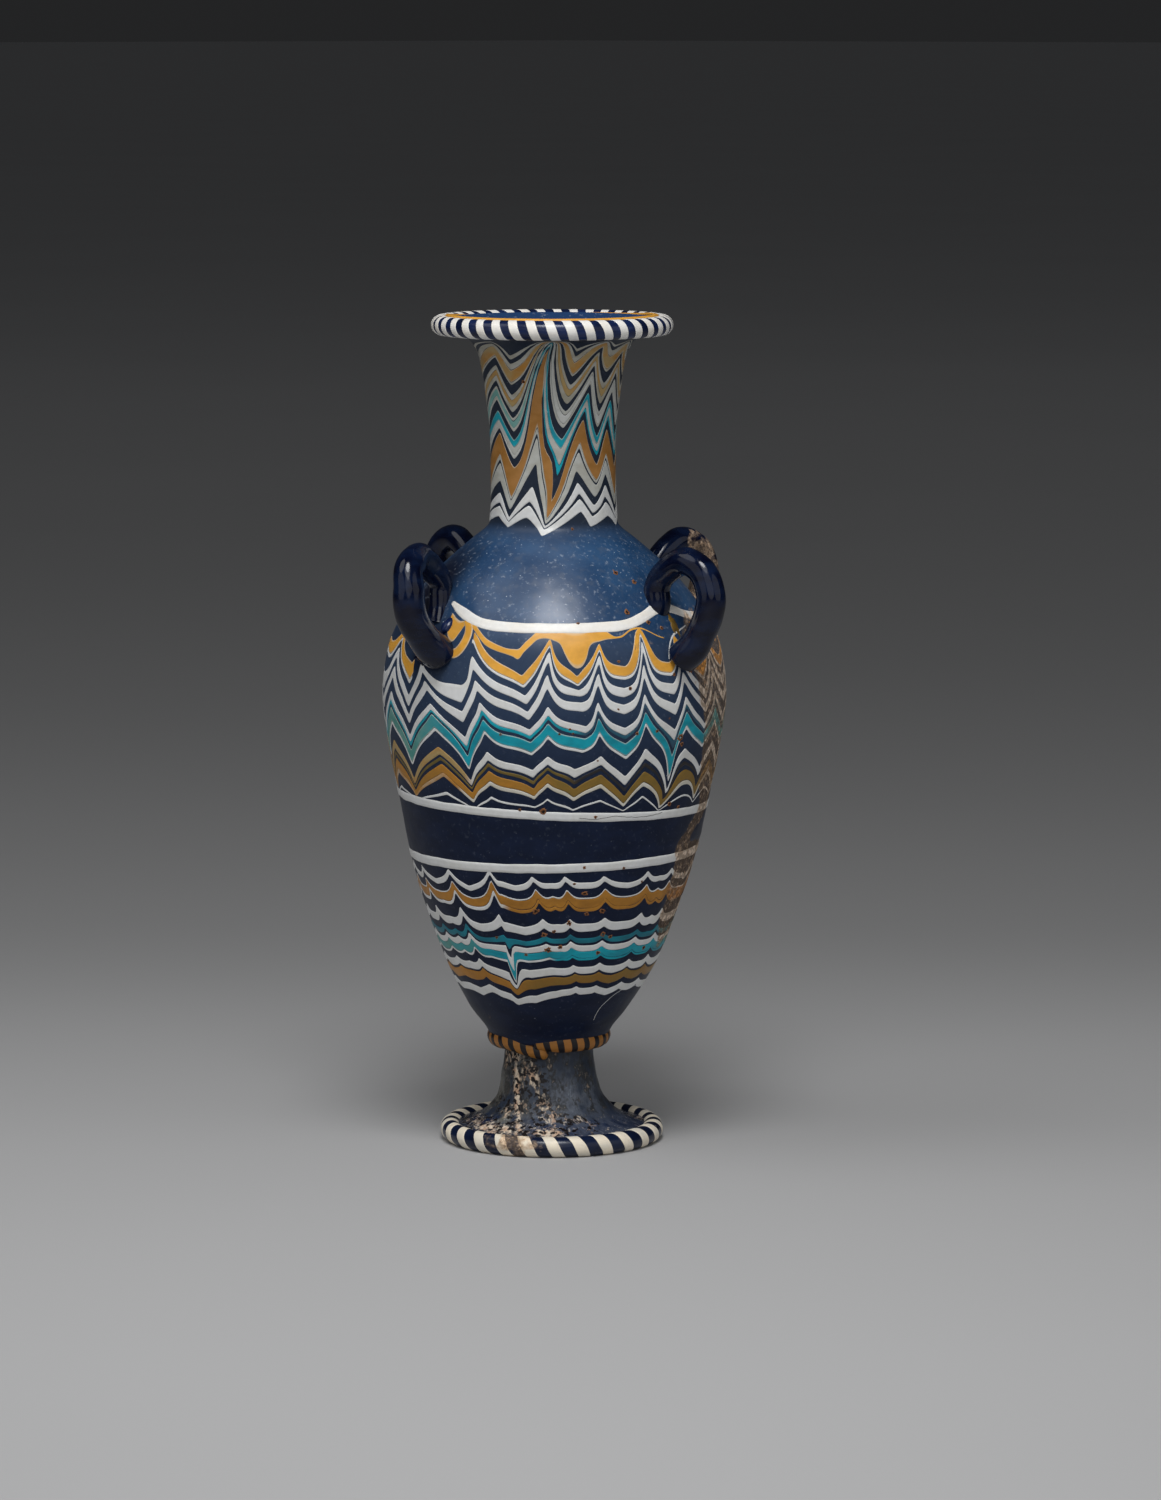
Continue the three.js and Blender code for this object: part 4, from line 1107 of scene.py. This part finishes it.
def hair_cracks():
    """Fine cracks in the wall, seen as thin lines."""
    for number, line in enumerate(CRACKS):
        look = ("foot", "foot", "dark_thread")[number]
        lift = 0.12 if number == 2 else 0.03
        columns = []
        for angle, height in spline(line, 40):
            wander = 0.12 * noise.noise(Vector((angle * 0.5, height, number * 5.0)))
            spots = [(height + wander + half, rise) for half, rise in
                     ((-0.045, -0.15), (-0.035, lift), (0.035, lift), (0.045, -0.15))]
            columns.append([skin(angle, up, rise) for up, rise in spots])
        new_piece(f"hair_crack_{number + 1}", *woven(columns, False, True), look)


def ring_path(size):
    """Path of a closed cord: for a share of the way round, its angle, radius, height and half thickness."""
    radius, height, half = size
    return lambda share: (360 * share, radius, height, half)


def thread_path(share):
    """The amber thread lies high at the near side of the mouth, and sinks behind the lip at the far side."""
    turn = 360 * share
    near = smooth(0.05, 0.60, 0.5 + 0.5 * cos(radians(turn)))
    right = smooth(95, 110, turn) * (1 - smooth(150, 175, turn))
    radius, height, half = RIM_THREAD
    return turn, radius, height - 0.25 + 0.69 * near + 0.22 * right, half - 0.18 + 0.16 * near


def collar_path(share):
    """The collar cord starts at the front, runs once round and ends just below its own start."""
    radius, height, half = COLLAR_CORD
    angle = -17 + 377 * share
    begun = min(1.0, share / 0.10)
    done = max(0.0, (share - 0.86) / 0.14)
    tip = sqrt(max(0.0, 1 - max(0.0, (done - 0.86) / 0.14) ** 2))
    start = sqrt(max(0.0, 1 - (1 - min(1.0, share / 0.012)) ** 2))
    thick = (0.62 + 0.26 * smooth(0, 1, begun)) * (1 - 0.22 * smooth(0, 1, done)) * min(tip, start)
    lowered = 1.75 * smooth(0.0, 1.0, done) - 0.25
    inward = 0.55 * smooth(0.0, 1.0, done)
    uneven = 0.12 * noise.noise(Vector((angle * 0.05, 2.2, 7.1)))
    return angle, radius + 0.1 - inward, height - lowered + uneven, max(0.06, half * thick)


def tube(name, path, count, look, stands_for=(), ring=True, crust=None, flat=0.0):
    """Round cord along a path, worn flat at a height below. crust is told by the angle."""
    columns = []
    covered = []
    for k in range(count):
        angle, radius, height, half = path(k / (count if ring else count - 1))
        column = []
        for j in range(CORD_SIDES):
            turn = 2 * pi * j / CORD_SIDES
            column.append(at(angle, radius + half * cos(turn), max(flat, height + half * sin(turn))))
            covered.append(crust(angle) if crust else 0.0)
        columns.append(column)
    new_piece(name, *woven(columns, ring, True), look, stands_for, crust=covered)


def cord_strand(name, path, turns, phase, half_width, look, lift=0.04, ring=True, crust=None):
    """One strand wound round a cord: turns of it in one round of the vessel, leaning down to the right."""
    rows = ceil(2 * degrees(half_width) / 9)
    shares = [-1 + 2 * k / rows for k in range(rows + 1)]
    count = turns * STEPS_IN_TURN
    columns = []
    covered = []
    for k in range(count):
        share = k / (count if ring else count - 1)
        angle, radius, height, half = path(share)
        wobble = 0.10 * noise.noise(Vector((angle * 0.23, phase, 4.1)))
        middle = phase - 2 * pi * turns * share + wobble
        width = half_width * (1 + 0.16 * noise.noise(Vector((angle * 0.4, phase, 8.3))))
        deep = min(0.3, half * 0.5)
        line = [(-1, -deep), *[(s, EDGE_LIFT if abs(s) == 1 else lift) for s in shares], (1, -deep)]
        column = []
        for part, rise in line:
            turn = middle + part * width
            out = half + rise
            column.append(at(angle, radius + out * cos(turn), max(0.0, height + out * sin(turn))))
            covered.append(crust(angle) if crust else 0.0)
        columns.append(column)
    new_piece(name, *woven(columns, ring, True), look, crust=covered)


def foot_stain(angle):
    """The foot cord is stained left of the photograph's middle."""
    return 0.42 * exp(-(((signed(angle) + 21) / 14) ** 2)) + 0.12


def cords():
    rim = ring_path(RIM_CORD)
    tube("rim_cord_core", rim, COLUMNS, "rim_blue", ["rim_cord"])
    cord_strand("rim_cord_white_strand", rim, 40, 0.0, radians(95), "cord_white")
    tube("rim_amber_line", thread_path, COLUMNS, "bright_amber", ["rim_amber_thread"])
    base = ring_path(FOOT_CORD)
    tube("foot_cord_core", base, COLUMNS, "foot_blue", ["foot_cord"], True, foot_stain, 0.02)
    cord_strand("foot_cord_cream_strand", base, 26, 0.6, radians(90), "cream", 0.04, True, foot_stain)
    tube("collar_cord_core", collar_path, 420, "collar_amber", ["collar_cord"], False)
    cord_strand("collar_cord_dark_strand", collar_path, 28, 0.6, radians(88), "dark_thread", 0.03, False)


def handle(name):
    """Bent rod, drawn out thinner where it leaves the shoulder and pressed on wider at the lower end."""
    shape = HANDLES[name]
    line = spline([(out, 0.0, height) for out, height in shape.bend], 88)
    buried = 1.0 if name == "handle_back_right" else 0.0
    rings = []
    crust = []
    for k, (out, _, height) in enumerate(line):
        share = k / (len(line) - 1)
        before, after = Vector(line[max(k - 1, 0)]), Vector(line[min(k + 1, len(line) - 1)])
        run = (after - before).normalized()
        normal = Vector((-run.z, 0.0, run.x))
        turn = radians(shape.azimuth + between(shape.askew, share))
        outward = Vector((sin(turn), -cos(turn), 0.0))
        sideways = Vector((cos(turn), sin(turn), 0.0))
        radius = shape.inner + (shape.rod - shape.inner) * smooth(0.22, 0.45, share)
        radius += 0.40 * smooth(0.80, 0.95, share) + 0.3 * (1 - smooth(0.02, 0.12, share))
        radius += 0.08 * sin(share * 11)
        ring = []
        for j in range(ROD_SIDES):
            around = 2 * pi * j / ROD_SIDES
            local = Vector((out, 0.0, height)) + normal * (radius * cos(around))
            across = radius * sin(around) * (1 + 0.10 * smooth(0.8, 1.0, share))
            spot = outward * local.x + sideways * across + Vector((0, 0, local.z))
            spot += spot * (0.0012 * noise.noise(spot * 0.35))
            spot += RIGHT * between(LEAN, height)
            ring.append(tuple(spot))
            facing = 0.5 - 0.5 * cos(around)
            crust.append(buried * (0.35 + 0.55 * facing) * smooth(0.3, 0.5, share))
        rings.append(ring)
    title = name.replace("handle_", "loop_handle_")
    new_piece(title, *woven(rings, False, True), "handle", [name], crust=crust)


def patches(rows, across, height, front):
    """Strongest of the patches at a place on the foot; they lie on its front."""
    found = 0.0
    for x, z, half_x, half_z, strength in rows:
        off = ((across - x) / half_x) ** 2 + ((height - z) / half_z) ** 2
        found = max(found, strength * exp(-0.7 * off))
    return found * smooth(-2.0, 1.0, front)


def foot():
    """Stem and splayed disc, a little hollow below."""
    profile = [*FOOT_UNDERSIDE, *spline(FOOT_OUTLINE, 90), (0.0, FOOT_OUTLINE[-1][1])]
    columns = []
    crust = []
    haze = []
    for angle in range(COLUMNS):
        column = []
        for radius, height in profile:
            spot = Vector(at(angle, radius, height))
            uneven = 0.22 * noise.noise(spot * 0.22) + 0.06 * noise.noise(spot * 0.9) if radius > 0 else 0.0
            across, front = radius * sin(radians(angle)), radius * cos(radians(angle))
            stray = 1.2 * noise.noise(spot * 0.5) + 0.6 * noise.noise(spot * 1.3)
            up = height + 1.2 * noise.noise(spot * 0.5 + Vector((9, 0, 0))) * smooth(3, 7, height)
            least = 0.06 if front > 0 else 0.22
            crust.append(max(least, patches(FOOT_CRUST, across + 0.45 * stray, up, front)))
            # Bloom on the foot's front, partly a painted highlight right of the stem.
            haze.append(max(0.30, patches(FOOT_BLOOM_AND_PAINTED_HIGHLIGHT, across + stray, up, front)))
            column.append(at(angle, radius + uneven + 0.05 * smooth(0.4, 0.9, crust[-1]), height))
        columns.append(column)
    new_piece("pedestal_foot", *woven(columns), "foot", ["foot_pedestal"], crust=crust, haze=haze)


def pale_floor():
    half = FLOOR_HALF
    mesh = bpy.data.meshes.new("floor")
    mesh.from_pydata([(-half, -half, 0), (half, -half, 0), (half, half, 0), (-half, half, 0)], [], [(0, 1, 2, 3)])
    ground = bpy.data.objects.new("floor", mesh)
    bpy.context.scene.collection.objects.link(ground)
    plain = Finish("pale_floor", 0.8, 0.1)
    tone = plain.mix(plain.noise(260.0, 2.0), "floor", "floor_light")
    behind = plain.along(-FRONT)
    near = plain.blend(plain.step(behind, 0.04, 0.24), 0.93, 0.72)
    near = plain.blend(plain.step(behind, -0.04, -0.26), near, 0.86)
    plain.set(Base_Color=plain.shaded(tone, plain.blend(plain.step(behind, 0.5, 2.2), near, 1.18)))
    mesh.materials.append(plain.material)


def backdrop():
    """Dark to the camera and in reflections, and a faint even light to everything else."""
    world = bpy.data.worlds.new("studio")
    world.use_nodes = True
    tree = world.node_tree
    dark = tree.nodes.new("ShaderNodeBackground")
    sky = tree.nodes["Background"]
    for background, name, strength in ((sky, "sky", 0.05), (dark, "backdrop", 1.0)):
        background.inputs["Color"].default_value = (*COLOURS[name], 1)
        background.inputs["Strength"].default_value = strength
    path = tree.nodes.new("ShaderNodeLightPath")
    seen = path.outputs["Is Camera Ray"]
    for kind in ("Is Glossy Ray", "Is Transmission Ray"):
        either = tree.nodes.new("ShaderNodeMath")
        either.operation = "MAXIMUM"
        tree.links.new(seen, either.inputs[0])
        tree.links.new(path.outputs[kind], either.inputs[1])
        seen = either.outputs[0]
    choice = tree.nodes.new("ShaderNodeMixShader")
    for number, source in enumerate((seen, sky.outputs[0], dark.outputs[0])):
        tree.links.new(source, choice.inputs[number])
    tree.links.new(choice.outputs[0], tree.nodes["World Output"].inputs["Surface"])
    bpy.context.scene.world = world


def lamps():
    for name, place, size, power, spread, target in LAMPS:
        spot, aim = (RIGHT * right + FRONT * front + UP * up for right, front, up in (place, target))
        data = bpy.data.lights.new(name, "AREA")
        data.shape = "DISK"
        data.size = size
        data.energy = power
        data.spread = radians(spread)
        lamp = bpy.data.objects.new(name, data)
        lamp.location = spot
        lamp.rotation_euler = (aim - spot).to_track_quat("-Z", "Y").to_euler()
        bpy.context.scene.collection.objects.link(lamp)


def photograph_camera():
    tilt, turn = radians(CAMERA_TILT), radians(CAMERA_TURN)
    data = bpy.data.cameras.new("photograph_camera")
    data.sensor_fit = "VERTICAL"
    data.sensor_height = SENSOR_HEIGHT
    data.lens = CAMERA_LENS
    data.clip_end = 100.0
    camera = bpy.data.objects.new("photograph_camera", data)
    back = -((RIGHT * sin(turn) - FRONT * cos(turn)) * cos(tilt) - UP * sin(tilt))
    side = UP.cross(back).normalized()
    place = (FRONT * CAMERA_DISTANCE + UP * CAMERA_HEIGHT) * MM
    matrix = Matrix((side, back.cross(side), back)).transposed().to_4x4()
    matrix.translation = place
    camera.matrix_world = matrix
    bpy.context.scene.collection.objects.link(camera)
    bpy.context.scene.camera = camera


photograph_camera()
pale_floor()
backdrop()
lamps()
make_looks()
vessel_body()
combed_trails()
plain_bands()
garland()
cords()
ribbons()
handle_pads()
iron_pits()
hair_cracks()
for node_name in HANDLES:
    handle(node_name)
foot()
bpy.context.scene.view_settings.view_transform = "Standard"
